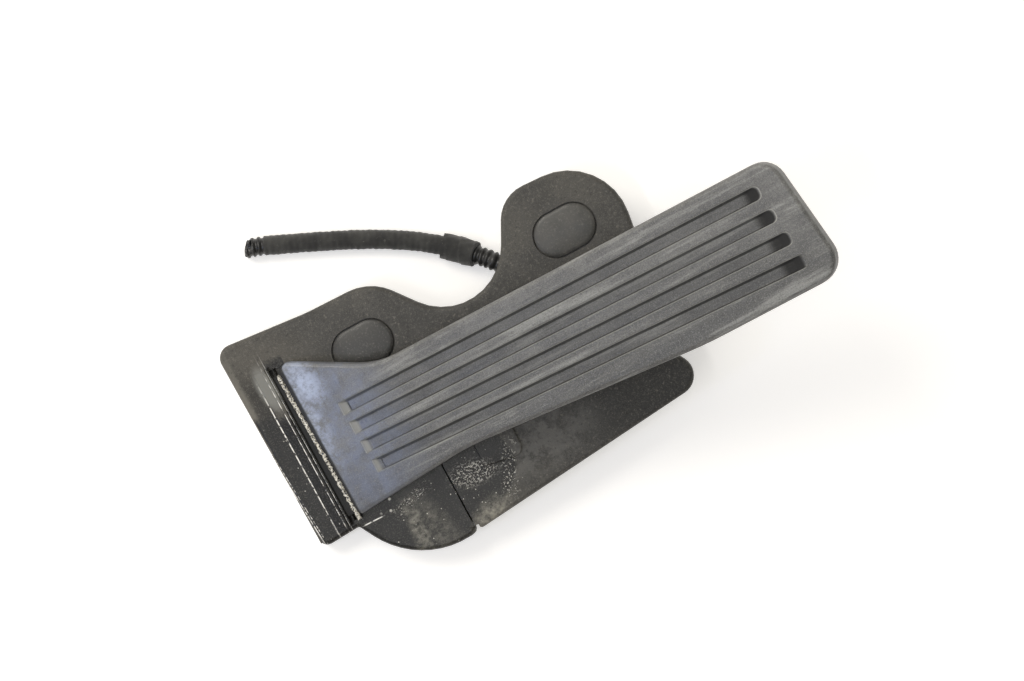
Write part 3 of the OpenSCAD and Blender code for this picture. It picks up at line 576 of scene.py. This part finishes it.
def specks(tree, place, size_mm, share, radius=0.3):
    """1 inside small round spots, in that share of the cells of a Voronoi pattern."""
    n = add(tree, "ShaderNodeTexVoronoi", {"Vector": place, "Scale": 1 / (size_mm * MM), "Randomness": 1.0})
    lot = add(tree, "ShaderNodeSeparateColor", {0: n.outputs["Color"]}).outputs[0]
    spot = add(tree, "ShaderNodeMapRange", rising(n.outputs["Distance"], radius * 0.6, radius, 1.0, 0.0),
               interpolation_type=SOFT)
    return where_all(tree, spot, add(tree, "ShaderNodeMath", {0: lot, 1: share}, operation="LESS_THAN"))


def band(tree, place, axis, start_mm, end_mm):
    """0 before start along an axis and 1 past end; end may lie on either side of start."""
    at = add(tree, "ShaderNodeSeparateXYZ", {0: place}).outputs[axis]
    return add(tree, "ShaderNodeMapRange", rising(at, start_mm * MM, end_mm * MM), interpolation_type=SOFT)


X, Y, Z = 0, 1, 2

# %% [markdown]
# ## The plate's plastic
# The plate, the wing and the hinge retainer are glass-filled polyamide with a spark-eroded grain. New it is
# even and matt; this one is dusty and brownish on the open areas, and oily where the hinge was greased. The
# oily film hides the grain, darkens the colour and shines a little, so one mask drives all three. Dried
# cleaner left pale crumbs on the oil. Light and shade are painted into the colour as well: a painted
# reflection streak of a long lamp on the oily lobe and wing, painted glints by the pad's lower corner, thin
# broken painted highlight lines along the retainer's and the rim's edges, a painted highlight band on the
# outer rim, a painted highlight on a polished spot by the hinge, and painted shade in the valley. The real
# grain is about 0.1 mm and too fine to show, so it is drawn at 0.6 and 1.3 mm.

# %% Where the oil, the painted reflection streak, the crumbs and the painted glints lie
def oil_mask(tree, place):
    lobe = patch(tree, place, (-17, -74, 15), (30, 26, 20), 0, 0.25)
    wing = patch(tree, place, (17, -71, 17), (20, 17, 14), 20, 0.3)
    corner = patch(tree, place, (-32, -70, 14), (12, 9, 12), 0, 0.3)
    valley = stroke(tree, place, (-53, -8), (-51.5, -80), 9.5)
    strip = stroke(tree, place, (-46, -12), (-45, -80), 8, 0.3)
    trough = stroke(tree, place, (-38.5, 14), (-37.5, -80), 9, 0.3)
    film = where_any(tree, lobe, wing, valley, strip, corner, trough)
    creep = add(tree, "ShaderNodeTexNoise", grains(place, 8, 5, 0.65))
    creep = add(tree, "ShaderNodeMath", {0: creep, 1: 0.8, 2: film}, operation="MULTIPLY_ADD")
    ragged = add(tree, "ShaderNodeMapRange", rising(creep, 0.75, 1.0), interpolation_type=SOFT)
    reach = add(tree, "ShaderNodeMapRange", rising(film, 0.0, 0.3), interpolation_type=SOFT)
    return where_all(tree, ragged, reach)


# Painted reflection: a pale streak where the oily lobe and wing would mirror a long lamp.
def reflection_streak_mask(tree, place):
    lobe = stroke(tree, place, (-15, -69), (-17.5, -90), 6, 0.8)
    beside = where_all(tree, stroke(tree, place, (-13, -72), (-7, -92), 10, 0.9), 0.5)
    wing = patch(tree, place, (15, -90, 17), (9, 5, 9), 20, 0.6)
    return where_all(tree, where_any(tree, lobe, beside, wing), mottle(tree, place, 2.6, 0.3, 0.75, 5, 0.75))


def crumb_and_glint_mask(tree, place):
    crust = (
        (patch(tree, place, (16, -71, 17), (10, 5, 9), -10, 0.5), 0.85, 0.53),
        (stroke(tree, place, (36, -66), (26, -86), 6, 0.5), 0.85, 0.57),
        (stroke(tree, place, (-21, -71), (-5, -66), 4.5, 0.5), 0.8, 0.56))
    loose = (
        (patch(tree, place, (-10, -76, 16), (26, 18, 14), 0, 0.3), 1.3, 0.1, 0.24),
        (patch(tree, place, (20, -76, 16), (16, 14, 14), 0, 0.3), 1.2, 0.14, 0.24),
        (stroke(tree, place, (-52, -14), (-48, -66), 9, 0.3), 1.1, 0.08, 0.24),
        # painted glints: bright specks by the pad's lower corner
        (patch(tree, place, (-24.5, -65, 16), (4, 4.5, 6), 0, 0.4), 1.9, 0.7, 0.42))
    return where_any(
        tree,
        *[where_all(tree, area, mottle(tree, place, size, low, low + 0.05)) for area, size, low in crust],
        *[where_all(tree, area, specks(tree, place, *spots)) for area, *spots in loose])

# %% Painted highlight lines along edges
# Painted highlights: thin broken pale lines along the retainer's and the rim's edges.
EDGE_HIGHLIGHT_LINES = (  # from, to, width, size of the breaks in mm, and how broken
    ((-48.9, 1), (-48.7, -66.5), 0.55, 2.2, 0.40, 0.50),
    ((-44.3, 8), (-44.2, -66), 0.34, 3.0, 0.42, 0.54),
    ((-42.5, 9), (-42.4, -66), 0.30, 2.6, 0.42, 0.54),
    ((-59.2, -16), (-56.2, -67), 0.42, 3.4, 0.40, 0.50),
    ((-57.9, -24), (-55.2, -67), 0.30, 2.0, 0.46, 0.56),
    ((-37, -69), (-28, -69.2), 0.50, 1.6, 0.40, 0.50))


def edge_highlight_mask(tree, place):
    lines = [where_all(tree, stroke(tree, place, a, b, width), mottle(tree, place, size, low, high))
             for a, b, width, size, low, high in EDGE_HIGHLIGHT_LINES]
    return where_all(tree, where_any(tree, *lines), band(tree, place, Z, 9.6, 10.8))

# %% Plate plastic with dust, oil, residue and painted light and shade
def plate_plastic(name):
    m, tree, shader, place = finish(name)
    colour = lay_colour(tree, tint("#3d3c39"), mottle(tree, place, 13, 0.34, 0.66, 5, 0.62), "#4b4a47")
    colour = lay_colour(tree, colour, mottle(tree, place, 34, 0.5, 0.68, 3, 0.55), "#56544e", 0.5)
    oily = oil_mask(tree, place)
    crumbs_and_glints = crumb_and_glint_mask(tree, place)
    dusty_corner = patch(tree, place, (-45, 6, 13), (22, 20, 12), 0, 0.6)
    valley_shade = stroke(tree, place, (-52, 11), (-51.5, -20), 7, 0.5)
    # painted highlight: a lighter band along the outer rim's left edge
    painted_rim_highlight = stroke(tree, place, (-57.6, 20), (-57.4, -40), 3.4, 0.6)
    pale_wing = where_all(tree, patch(tree, place, (52, -73, 22), (27, 11, 14), 4, 0.45),
                          mottle(tree, place, 9, 0.36, 0.56))
    dark_wing = patch(tree, place, (104, -70, 26), (34, 26, 20), 0, 0.4)
    # a polished spot by the hinge: real lower roughness, and a painted highlight in its lighter colour
    polish_and_highlight = patch(tree, place, (-45.8, 3.5, 14), (4.2, 10, 6), 4, 0.35)
    for mask, paint, share in (
            (dusty_corner, "#5f5b52", 0.5),
            (valley_shade, "#262523", 0.75),
            (painted_rim_highlight, "#77746b", 0.65),
            (pale_wing, "#6c6b67", 0.75),
            (dark_wing, "#2c2c2a", 0.6),
            (mottle(tree, place, 1.3, 0.55, 0.7, 4, 0.75), "#7d7970", 0.55),
            (mottle(tree, place, 1.3, 0.3, 0.44, 4, 0.75, to=(1, 0)), "#201f1d", 0.65),
            (oily, "#090908", 0.92),
            (mottle(tree, place, 0.6, 0.52, 0.66, 3), "#75736b", 0.36),
            # painted reflection streak of a long lamp on the oily lobe and wing
            (reflection_streak_mask(tree, place), "#9b988b", 0.85),
            (polish_and_highlight, "#7f7f79", 0.85),
            # painted highlight lines along the edges
            (edge_highlight_mask(tree, place), "#efede6", 1.0),
            # real pale crumbs, and the painted glints by the pad's corner
            (crumbs_and_glints, "#dedbd0", 1.0)):
        colour = lay_colour(tree, colour, mask, paint, share)
    dry = mottle(tree, place, 13, 0.3, 0.7, 5, 0.62, to=(0.5, 0.62))
    wet = mottle(tree, place, 0.6, 0.35, 0.65, 3, to=(0.3, 0.44))
    rough = add(tree, "ShaderNodeMix", {0: oily, 2: dry, 3: wet}, data_type="FLOAT")
    rough = add(tree, "ShaderNodeMix", {0: polish_and_highlight, 2: rough, 3: 0.3}, data_type="FLOAT")
    grain = add(tree, "ShaderNodeTexNoise", grains(place, 0.6, 3))
    drops = add(tree, "ShaderNodeTexNoise", grains(place, 0.8, 3, 0.8))
    height = add(tree, "ShaderNodeMix", {0: oily, 2: grain, 3: drops}, data_type="FLOAT")
    height = add(tree, "ShaderNodeMath", {0: height, 1: crumbs_and_glints}, operation="ADD")
    dress(tree, shader, colour, rough, height, 0.6, 0.07)
    shader.inputs["Specular IOR Level"].default_value = 0.3
    return m


plate_finish = plate_plastic("glass_filled_polyamide_grained")
print("plate finish nodes:", len(plate_finish.node_tree.nodes))

# %% [markdown]
# ## The pad's plastic
# The pad is a tougher, smoother moulding in the same family, mid grey from wear. Shoes polish it along its
# length, so fine scratches run that way. The flare at the hinge, which nobody steps on, keeps the smoothest
# skin and mirrors a bluish window; that reflection and its brightest spots are painted into the colour too.
# The lower half is painted darker as painted shade, and so is the hinge roll. The grooves' floors and walls
# are darkened as painted shade with some dirt, their far ends as painted shade, and their lips and near ends
# carry painted highlights. Depth below the tread, which lies at 3.3 mm, is read from the pad's own sloping
# frame.

# %% Depths inside the grooves
def groove_masks(tree, own_place):
    """Masks of the grooves' floor, walls, lips and both ends, from the place in the pad's own frame."""
    grooved = stroke(tree, own_place, (19.8, -33.5), (233.6, -40.5), 45.5, 0.01)

    def cut(axis, start_mm, end_mm):
        return band(tree, own_place, axis, start_mm, end_mm)

    floor = where_all(tree, cut(Z, 1.93, 1.82), grooved)
    wall = where_all(tree, cut(Z, 3.02, 2.67), cut(Z, 1.82, 1.93), grooved)
    lip = where_all(tree, cut(Z, 3.25, 3.18), cut(Z, 2.89, 3.08), grooved)
    far_end = where_all(tree, cut(X, 221.5, 226.5), cut(Z, 3.0, 2.59), grooved)
    near_end = where_all(tree, cut(X, 26.2, 24.6), cut(Z, 3.08, 2.75), grooved)
    return floor, wall, lip, far_end, near_end

# %% Worn pad plastic with painted reflection, highlights and shade
def pad_plastic(name):
    m, tree, shader, place = finish(name)
    own_place = add(tree, "ShaderNodeMapping", {
        "Vector": place, "Location": PAD.translation, "Rotation": PAD.to_euler()}, vector_type="TEXTURE")
    drawn = add(tree, "ShaderNodeMapping", {
        "Vector": own_place, "Rotation": (0, 0, math.radians(2)), "Scale": (0.07, 1.0, 1.0)},
        vector_type="POINT")
    flare = patch(tree, place, (-22, -26, 24), (22, 46, 30), 0, 0.6)
    walked = add(tree, "ShaderNodeMapRange", rising(flare, 0.0, 0.8, 1.0, 0.15), interpolation_type=SOFT)
    # where the painted reflection of the window is brightest
    hot = where_any(tree, patch(tree, place, (-29.5, -2, 18), (7, 11, 9), 12, 0.8),
                    patch(tree, place, (-33.5, -18, 15), (4, 18, 8), 2, 0.9))
    bluish = mottle(tree, place, 6, 0.3, 0.68, 6, 0.8, to=(0.1, 0.6))
    # painted shade on the hinge roll in its channel
    roll = stroke(tree, place, (-40.6, 14), (-40, -74), 9.8, 0.12)
    floor, wall, lip, far_end, near_end = groove_masks(tree, own_place)
    colour = lay_colour(tree, tint("#5a5a59"), mottle(tree, place, 17, 0.32, 0.68, 5, 0.62), "#6e6e6c")
    for mask, paint, share in (
            # painted shade: the lower half of the pad darker
            (band(tree, own_place, Y, -28, -66), "#3f3f3d", 0.5),
            (where_all(tree, walked, mottle(tree, drawn, 5, 0.5, 0.68, 5)), "#929390", 0.75),
            (mottle(tree, drawn, 5, 0.32, 0.47, 5, to=(1, 0)), "#464747", 0.55),
            (where_all(tree, walked, mottle(tree, drawn, 0.8, 0.58, 0.72, 4, 0.75)), "#9a9a96", 0.5),
            (mottle(tree, place, 1.2, 0.56, 0.72, 4, 0.75), "#9b9b96", 0.3),
            (mottle(tree, place, 1.2, 0.3, 0.44, 4, 0.75, to=(1, 0)), "#373736", 0.6),
            (mottle(tree, place, 0.5, 0.53, 0.68, 2), "#a8a8a3", 0.3),
            (mottle(tree, place, 0.5, 0.34, 0.47, 2, to=(1, 0)), "#2f2f2e", 0.36),
            # painted shade: the grooves' floors and walls darker, with some dirt on the walls, and their far
            # ends dark
            (floor, "#2c2c2c", 0.34),
            (wall, "#1c1c1c", 0.72),
            (far_end, "#171717", 0.88),
            # painted highlight on the grooves' lips
            (lip, "#a3a39e", 0.6),
            # painted reflection of the bluish window on the flare
            (where_all(tree, flare, bluish), "#687082", 1.0),
            # painted highlight: the brightest spots of that reflection
            (where_all(tree, hot, mottle(tree, place, 6, 0.32, 0.62, 6, 0.8)), "#b2bdd4", 0.85),
            # painted shade on the hinge roll
            (roll, "#131312", 0.92),
            # painted highlight on the grooves' near-end ramps
            (near_end, "#97978f", 0.55)):
        colour = lay_colour(tree, colour, mask, paint, share)
    dry = mottle(tree, drawn, 5, 0.3, 0.7, 5, to=(0.36, 0.54))
    sleek = mottle(tree, place, 6, 0.3, 0.7, 6, 0.8, to=(0.4, 0.25))
    rough = add(tree, "ShaderNodeMix", {0: flare, 2: dry, 3: sleek}, data_type="FLOAT")
    dull = where_any(tree, far_end, roll)
    rough = add(tree, "ShaderNodeMix", {0: dull, 2: rough, 3: 0.8}, data_type="FLOAT")
    scratch = add(tree, "ShaderNodeTexNoise", grains(drawn, 0.8, 4, 0.75))
    grain = add(tree, "ShaderNodeTexNoise", grains(place, 0.5, 2))
    height = add(tree, "ShaderNodeMath", {0: scratch, 1: 0.6, 2: grain}, operation="MULTIPLY_ADD")
    dress(tree, shader, colour, rough, height, 0.5, 0.08)
    return m


pad_finish = pad_plastic("worn_polypropylene_pad")
print("pad finish nodes:", len(pad_finish.node_tree.nodes))

# %% [markdown]
# ## Small finishes
# Caps and sensor housings are plain black polymer, bushes and roller are natural acetal, which is milky and
# slippery, stops are rubber, and sleeves, screws and pins are zinc-plated steel. Spring wire is darker steel
# under a film of oil. The grease is black with metal dust and has skinned over into a glossy crust, whose
# pale flecks are dried skin with painted highlights.

# %% Metals, cap plastic and grease
def plated_steel(name, dark, pale, rough, grain_mm=0.4):
    m, tree, shader, place = finish(name)
    colour = lay_colour(tree, tint(dark), mottle(tree, place, 5, 0.3, 0.7, 4, 0.6), pale)
    roughness = mottle(tree, place, grain_mm, 0.3, 0.7, 3, 0.6, to=(rough - 0.07, rough + 0.1))
    fine = add(tree, "ShaderNodeTexNoise", grains(place, grain_mm, 3, 0.6))
    dress(tree, shader, colour, roughness, fine, 0.2, 0.02)
    shader.inputs["Metallic"].default_value = 1.0
    return m


def cap_plastic(name):
    m, tree, shader, place = finish(name)
    colour = lay_colour(tree, tint("#3a3a37"), mottle(tree, place, 7, 0.3, 0.7, 4, 0.65), "#4b4a46")
    for mask, paint, share in (
            (patch(tree, place, (3, -2, 18), (20, 14, 20), 0, 0.6), "#232322", 0.6),
            (mottle(tree, place, 0.9, 0.53, 0.68, 4, 0.75), "#75736c", 0.5),
            (mottle(tree, place, 0.9, 0.28, 0.42, 4, 0.75, to=(1, 0)), "#20201f", 0.5)):
        colour = lay_colour(tree, colour, mask, paint, share)
    roughness = mottle(tree, place, 7, 0.3, 0.7, 4, 0.65, to=(0.36, 0.52))
    pores = add(tree, "ShaderNodeTexNoise", grains(place, 0.9, 4, 0.75))
    dress(tree, shader, colour, roughness, pores, 0.5, 0.08)
    return m


def grease_with_painted_glints(name):
    m, tree, shader, place = finish(name)
    # pale flecks on the black grease: dried skin, and painted highlights of the glints on its wet surface
    colour = lay_colour(tree, tint("#161614"), mottle(tree, place, 0.9, 0.42, 0.54, 4, 0.75), "#dedacd")
    skin = add(tree, "ShaderNodeTexNoise", grains(place, 0.7, 4, 0.8))
    dress(tree, shader, colour, 0.12, skin, 0.8, 0.2)
    return m


zinc = plated_steel("zinc_plated_steel", "#a9abab", "#c6c7c2", 0.36)
spring_wire = plated_steel("oiled_spring_steel", "#5d5e60", "#7b7c7d", 0.3)
nickel = plated_steel("nickel_plated_magnet", "#a5a39e", "#bebcb6", 0.22)
cap_finish = cap_plastic("polyamide_bolt_cap")
grease = grease_with_painted_glints("grease_with_painted_glints")
housing_finish = moulded_black("polyamide_black_housing", "#2b2b2a", "#383735", 0.6, 0.5, 0.05)
lever_finish = moulded_black("glass_filled_lever", "#3c3d3e", "#4a4a4a", 0.6, 0.46, 0.04)
acetal = moulded_black("natural_acetal", "#b5b0a2", "#c9c5b8", 1.2, 0.3, 0.015)
print("small finishes ready")

# %% [markdown]
# ## Plate, wing and hinge retainer
# The plate and the wing meet at the seam in one plane, and the retainer is a strip screwed over the pad's
# hinge roll. All three are moulded from the same plastic, so they share its finish and a 0.3 mm edge radius;
# the thinner strip gets a smaller one.

# %% Soft-edged plate, wing and retainer
plate = own(moulding("base_plate", 0.3), "base", plate_finish, "base_plastic", "base_plate")
wing = own(moulding("side_wing", 0.3), "base", plate_finish, "base_plastic", "side_wing")
retainer = own(moulding("hinge_retainer", 0.18), "base", plate_finish, "base_plastic", "hinge_retainer")
print("plate, wing, retainer triangles:", [triangles(o) for o in (plate, wing, retainer)])

# %% [markdown]
# ## The pad
# The real grooves slope at both ends and are scooped out at the far one. The CAD pad has them with plain
# walls, so they are closed in a copy of it, flush with the tread, and cut again with a shaped cutter. The pad
# is worked on in its own flat frame and then laid back on its slope.

# %% A cutter for the grooves
TREAD_MM = 3.3
CUTTER_MM = 210
STEPS_DOWN = (  # inward, down, aside, then how far the near and the far end draw in, all in mm
    (0.22, 0.08, 0.0, 0.0, 0.0),
    (0.20, 0.22, 0.0, 0.2, 0.3),
    (0.32, 0.50, -0.14, 0.8, 1.3),
    (0.30, 0.45, -0.16, 1.0, 1.9),
    (0.32, 0.25, -0.06, 0.5, 1.6))


def is_far(point):
    return point.co.x > CUTTER_MM / 2 * MM


def upright(edge):
    return abs(edge.verts[0].co.z - edge.verts[1].co.z) > MM


def groove_cutter(name):
    """A cutter along X from the origin, with its mouth at Z = 0 and a scoop at its far end."""
    bpy.ops.mesh.primitive_cube_add(size=1, location=(CUTTER_MM / 2 * MM, 0, MM))
    cutter = bpy.context.object
    cutter.name = name
    cutter.scale = ((CUTTER_MM + 0.6) * MM, 6.5 * MM, 2 * MM)
    lay(cutter)
    edit(cutter, "EDGE")
    pick(cutter, "edges", lambda e: upright(e) and is_far(e.verts[0]))
    bpy.ops.mesh.bevel(offset=2.6 * MM, segments=6)
    pick(cutter, "edges", lambda e: upright(e) and not is_far(e.verts[0]))
    bpy.ops.mesh.bevel(offset=0.7 * MM, segments=3)
    bpy.ops.mesh.select_mode(type="FACE")
    pick(cutter, "faces", lambda f: f.normal.z < -0.9)
    for inward, down, aside, near, far in STEPS_DOWN:
        bpy.ops.mesh.inset(thickness=inward * MM, depth=0)
        bpy.ops.transform.translate(value=(0, aside * MM, -down * MM))
        for v in [v for v in bmesh.from_edit_mesh(cutter.data).verts if v.select]:
            v.co.x += -far * MM if is_far(v) else near * MM
    bmesh.update_edit_mesh(cutter.data)
    bpy.ops.mesh.select_all(action="SELECT")
    bpy.ops.mesh.normals_make_consistent(inside=False)
    done()
    return cutter

# %% The pad with its grooves closed
def in_groove(p):
    """True where a point of the pad's frame lies in a CAD groove, below the tread."""
    along = p.x / MM - 22
    across = (-p.y / MM - 16.8 - along * 0.0187) / (9.5 + along * 0.00668)
    return 0.02 < p.x < 0.236 and -0.05 < across < 3.7 and 1.7 * MM < p.z < (TREAD_MM - 0.01) * MM


pad = merged_copy("pedal_pad", PAD.inverted())
bpy.ops.mesh.normals_make_consistent(inside=False)
bpy.ops.mesh.select_mode(type="FACE")
groove_faces = pick(pad, "faces", lambda f: in_groove(f.calc_center_median()) and f.normal.z > 0.2)
bpy.ops.mesh.delete(type="FACE")
bpy.ops.mesh.select_mode(type="EDGE")
pick(pad, "edges", lambda e: e.is_boundary)
bpy.ops.mesh.edge_face_add()
bpy.ops.mesh.select_all(action="SELECT")
bpy.ops.mesh.dissolve_limited(angle_limit=math.radians(0.6))
done()
print("groove faces closed:", groove_faces)

# %% Cutting the four grooves again
pattern = groove_cutter("groove_pattern")
for k in range(4):
    a = Vector((22 + 0.4 * k, -19.7 - 9.5 * k, TREAD_MM)) * MM
    b = Vector((231.5 + 1.2 * k, -23.6 - 10.9 * k, TREAD_MM)) * MM
    run = b - a
    cutter = pattern.copy()
    cutter.data = pattern.data.copy()
    scene.collection.objects.link(cutter)
    turn = Matrix.Rotation(math.atan2(run.y, run.x), 4, "Z")
    stretch = Matrix.Diagonal((run.length / (CUTTER_MM * MM), 1, 1, 1))
    cutter.matrix_world = Matrix.Translation(a) @ turn @ stretch
    modifier(pad, "BOOLEAN", operation="DIFFERENCE", object=cutter, solver="EXACT")
    bpy.data.objects.remove(cutter)
bpy.data.objects.remove(pattern)
lay(pad, PAD)
modifier(pad, "BEVEL", width=0.3 * MM, segments=2, limit_method="ANGLE", angle_limit=math.radians(55),
         use_clamp_overlap=True)
even_normals(smooth(pad, 38))
own(pad, "pad", pad_finish, "pad_plastic", "pedal_pad")
print("pad triangles:", triangles(pad))

# %% [markdown]
# ## Grease along the hinge
# Grease worked out of the hinge and dried along the pad's edge as a lumpy glossy bead. It starts as a long
# bar, gets rows of edges, and a fine noise pushes its skin in and out.

# %% Grease bead
bpy.ops.mesh.primitive_cylinder_add(
    vertices=14, radius=0.95 * MM, depth=72 * MM, rotation=(math.pi / 2, 0, math.radians(1.3)),
    location=(-37.9 * MM, -29.6 * MM, 16.3 * MM))
bead = bpy.context.object
bead.name = "grease_bead"
lay(bead)
edit(bead, "EDGE")
pick(bead, "edges", lambda e: abs(e.verts[0].co.y - e.verts[1].co.y) > 10 * MM)
bpy.ops.mesh.subdivide(number_cuts=150)
done()
crust = bpy.data.textures.new("crust", "CLOUDS")
crust.noise_scale = 1.3 * MM
crust.noise_depth = 3
modifier(bead, "DISPLACE", texture=crust, texture_coords="GLOBAL", strength=1.5 * MM, mid_level=0.5)
smooth(bead, 50)
own(bead, "pad", grease, "pad_plastic")
print("bead size, mm:", tuple(round(v / MM, 1) for v in bead.dimensions))

# %% [markdown]
# ## The seam
# The plate and the wing meet at a dark line about half a millimetre wide with crisp edges. A tongue below
# the surface closes the gap, so that it looks black and not white, and a bar with a tighter radius of 0.2 mm
# on each side makes the edges crisp.

# %% Tongue and crisp seam edges
bpy.ops.mesh.primitive_cube_add(size=1, location=(5.58 * MM, -72.5 * MM, -3.2 * MM))
tongue = bpy.context.object
tongue.name = "seam_tongue"
tongue.scale = (2.4 * MM, 33 * MM, 1.4 * MM)
lay(tongue, PLATE)
modifier(tongue, "BEVEL", width=0.3 * MM, segments=2)
smooth(tongue, 40)
own(tongue, "base", plate_finish, "base_plastic")
for name, x in (("seam_edge_plate", 3.8), ("seam_edge_wing", 7.2)):
    bpy.ops.mesh.primitive_cube_add(size=1, location=(x * MM, -74.3 * MM, -0.98 * MM))
    edge = bpy.context.object
    edge.name = name
    edge.scale = (2.9 * MM, 35 * MM, 2 * MM)
    lay(edge, PLATE)
    modifier(edge, "BEVEL", width=0.2 * MM, segments=2)
    even_normals(smooth(edge, 40))
    own(edge, "base", plate_finish, "base_plastic")
print("seam pieces:", tongue.name, "and two edges")

# %% [markdown]
# ## Bolt caps
# Each cap is an oval press-in cover with a gently crowned top and a small chamfer round it, standing in a
# seat with a dark gap all round. Its crown catches the lamp at one end and falls off to the other.

# %% One crowned cap, made again for the second seat
CAP_RADIUS = 9.55 * MM
CAP_STRETCH = 8.2 * MM
CAP_SEAT = 1.6 * MM
CAP_DEEP = 4 * MM
DOME = 1.0 * MM
RINGS = 8


def crowned_cap(name):
    bpy.ops.mesh.primitive_cylinder_add(vertices=96, radius=CAP_RADIUS, depth=CAP_SEAT + CAP_DEEP,
                                        location=(0, 0, (CAP_SEAT - CAP_DEEP) / 2))
    cap = bpy.context.object
    cap.name = name
    edit(cap, "VERT")
    pick(cap, "verts", lambda v: v.co.x > 1e-5)
    bpy.ops.transform.translate(value=(CAP_STRETCH / 2, 0, 0))
    pick(cap, "verts", lambda v: v.co.x < -1e-5)
    bpy.ops.transform.translate(value=(-CAP_STRETCH / 2, 0, 0))
    bpy.ops.mesh.select_mode(type="FACE")
    pick(cap, "faces", lambda f: f.normal.z > 0.9)
    bpy.ops.transform.translate(value=(0, 0, -0.1 * MM))
    bpy.ops.mesh.inset(thickness=0.5 * MM, depth=0.35 * MM)
    for k in range(RINGS):
        far = 1 - (k + 1) / (RINGS + 1)
        rise = DOME * ((1 - far ** 2) - (1 - (far + 1 / (RINGS + 1)) ** 2)) * 0.78
        bpy.ops.mesh.inset(thickness=CAP_RADIUS / 9.8, depth=rise)
    pick(cap, "faces", lambda f: f.normal.z < -0.9)
    bpy.ops.mesh.inset(thickness=3.4 * MM, depth=0)
    done()
    return smooth(cap, 40)


caps = []
for name, x, y in (("lower_bolt_cap", 0.0, 0.0), ("upper_bolt_cap", 100.5, 2.2)):
    cap = crowned_cap(name + "_crowned")
    seat = PLATE @ Matrix.Translation((x / math.cos(math.radians(6)) * MM, y * MM, -CAP_SEAT))
    lay(cap, seat)
    caps.append(own(cap, "base", cap_finish, "cap_plastic", name))
print("caps:", [tuple(round(v / MM, 1) for v in c.dimensions) for c in caps])

# %% [markdown]
# ## Everything below the plate
# The housing, lever, springs, bushes and sensor are hidden in the picture, but the part can be turned over.
# Their CAD solids are right as they are, so most get edges with a small radius, shading smooth by angle and
# the finish of the real material; the roller, the bushes and the return springs keep their CAD mesh and only
# get the finish.

# %% Hidden pieces
HIDDEN = {
    "mechanism_housing": ("base", housing_finish, "base_plastic", 0.25),
    "position_sensor": ("base", sensor_finish, "sensor_plastic", 0.25),
    "lever": ("lever", lever_finish, "lever_plastic", 0.25),
    "roller": ("roller", acetal, "bush_plastic", 0.0),
    "shaft_bush_left": ("base", acetal, "bush_plastic", 0.0),
    "shaft_bush_right": ("base", acetal, "bush_plastic", 0.0),
    "idle_stop": ("base", rubber, "stop_rubber", 0.4),
    "full_stroke_bumper": ("base", rubber, "stop_rubber", 0.5),
    "lower_mounting_sleeve": ("base", zinc, "zinc_steel", 0.2),
    "upper_mounting_sleeve": ("base", zinc, "zinc_steel", 0.2),
    "housing_screws": ("base", zinc, "zinc_steel", 0.2),
    "wing_screws": ("base", zinc, "zinc_steel", 0.2),
    "sensor_screws": ("base", zinc, "zinc_steel", 0.2),
    "roller_pin": ("lever", zinc, "zinc_steel", 0.15),
    "lever_shaft": ("lever", zinc, "zinc_steel", 0.15),
    "shaft_circlip": ("lever", spring_wire, "spring_steel", 0.1),
    "shaft_magnet": ("lever", nickel, "magnet", 0.15),
    "return_spring_left": ("base", spring_wire, "spring_steel", 0.0),
    "return_spring_right": ("base", spring_wire, "spring_steel", 0.0),
}
for name, (body, material, slot, radius) in HIDDEN.items():
    if radius:
        dressed = own(moulding(name, radius, limit=40), body, material, slot, name)
    else:
        dressed = nodes[name]
        dressed.data.materials.clear()
        dressed.data.materials.append(material)
print("hidden pieces dressed:", len(HIDDEN))
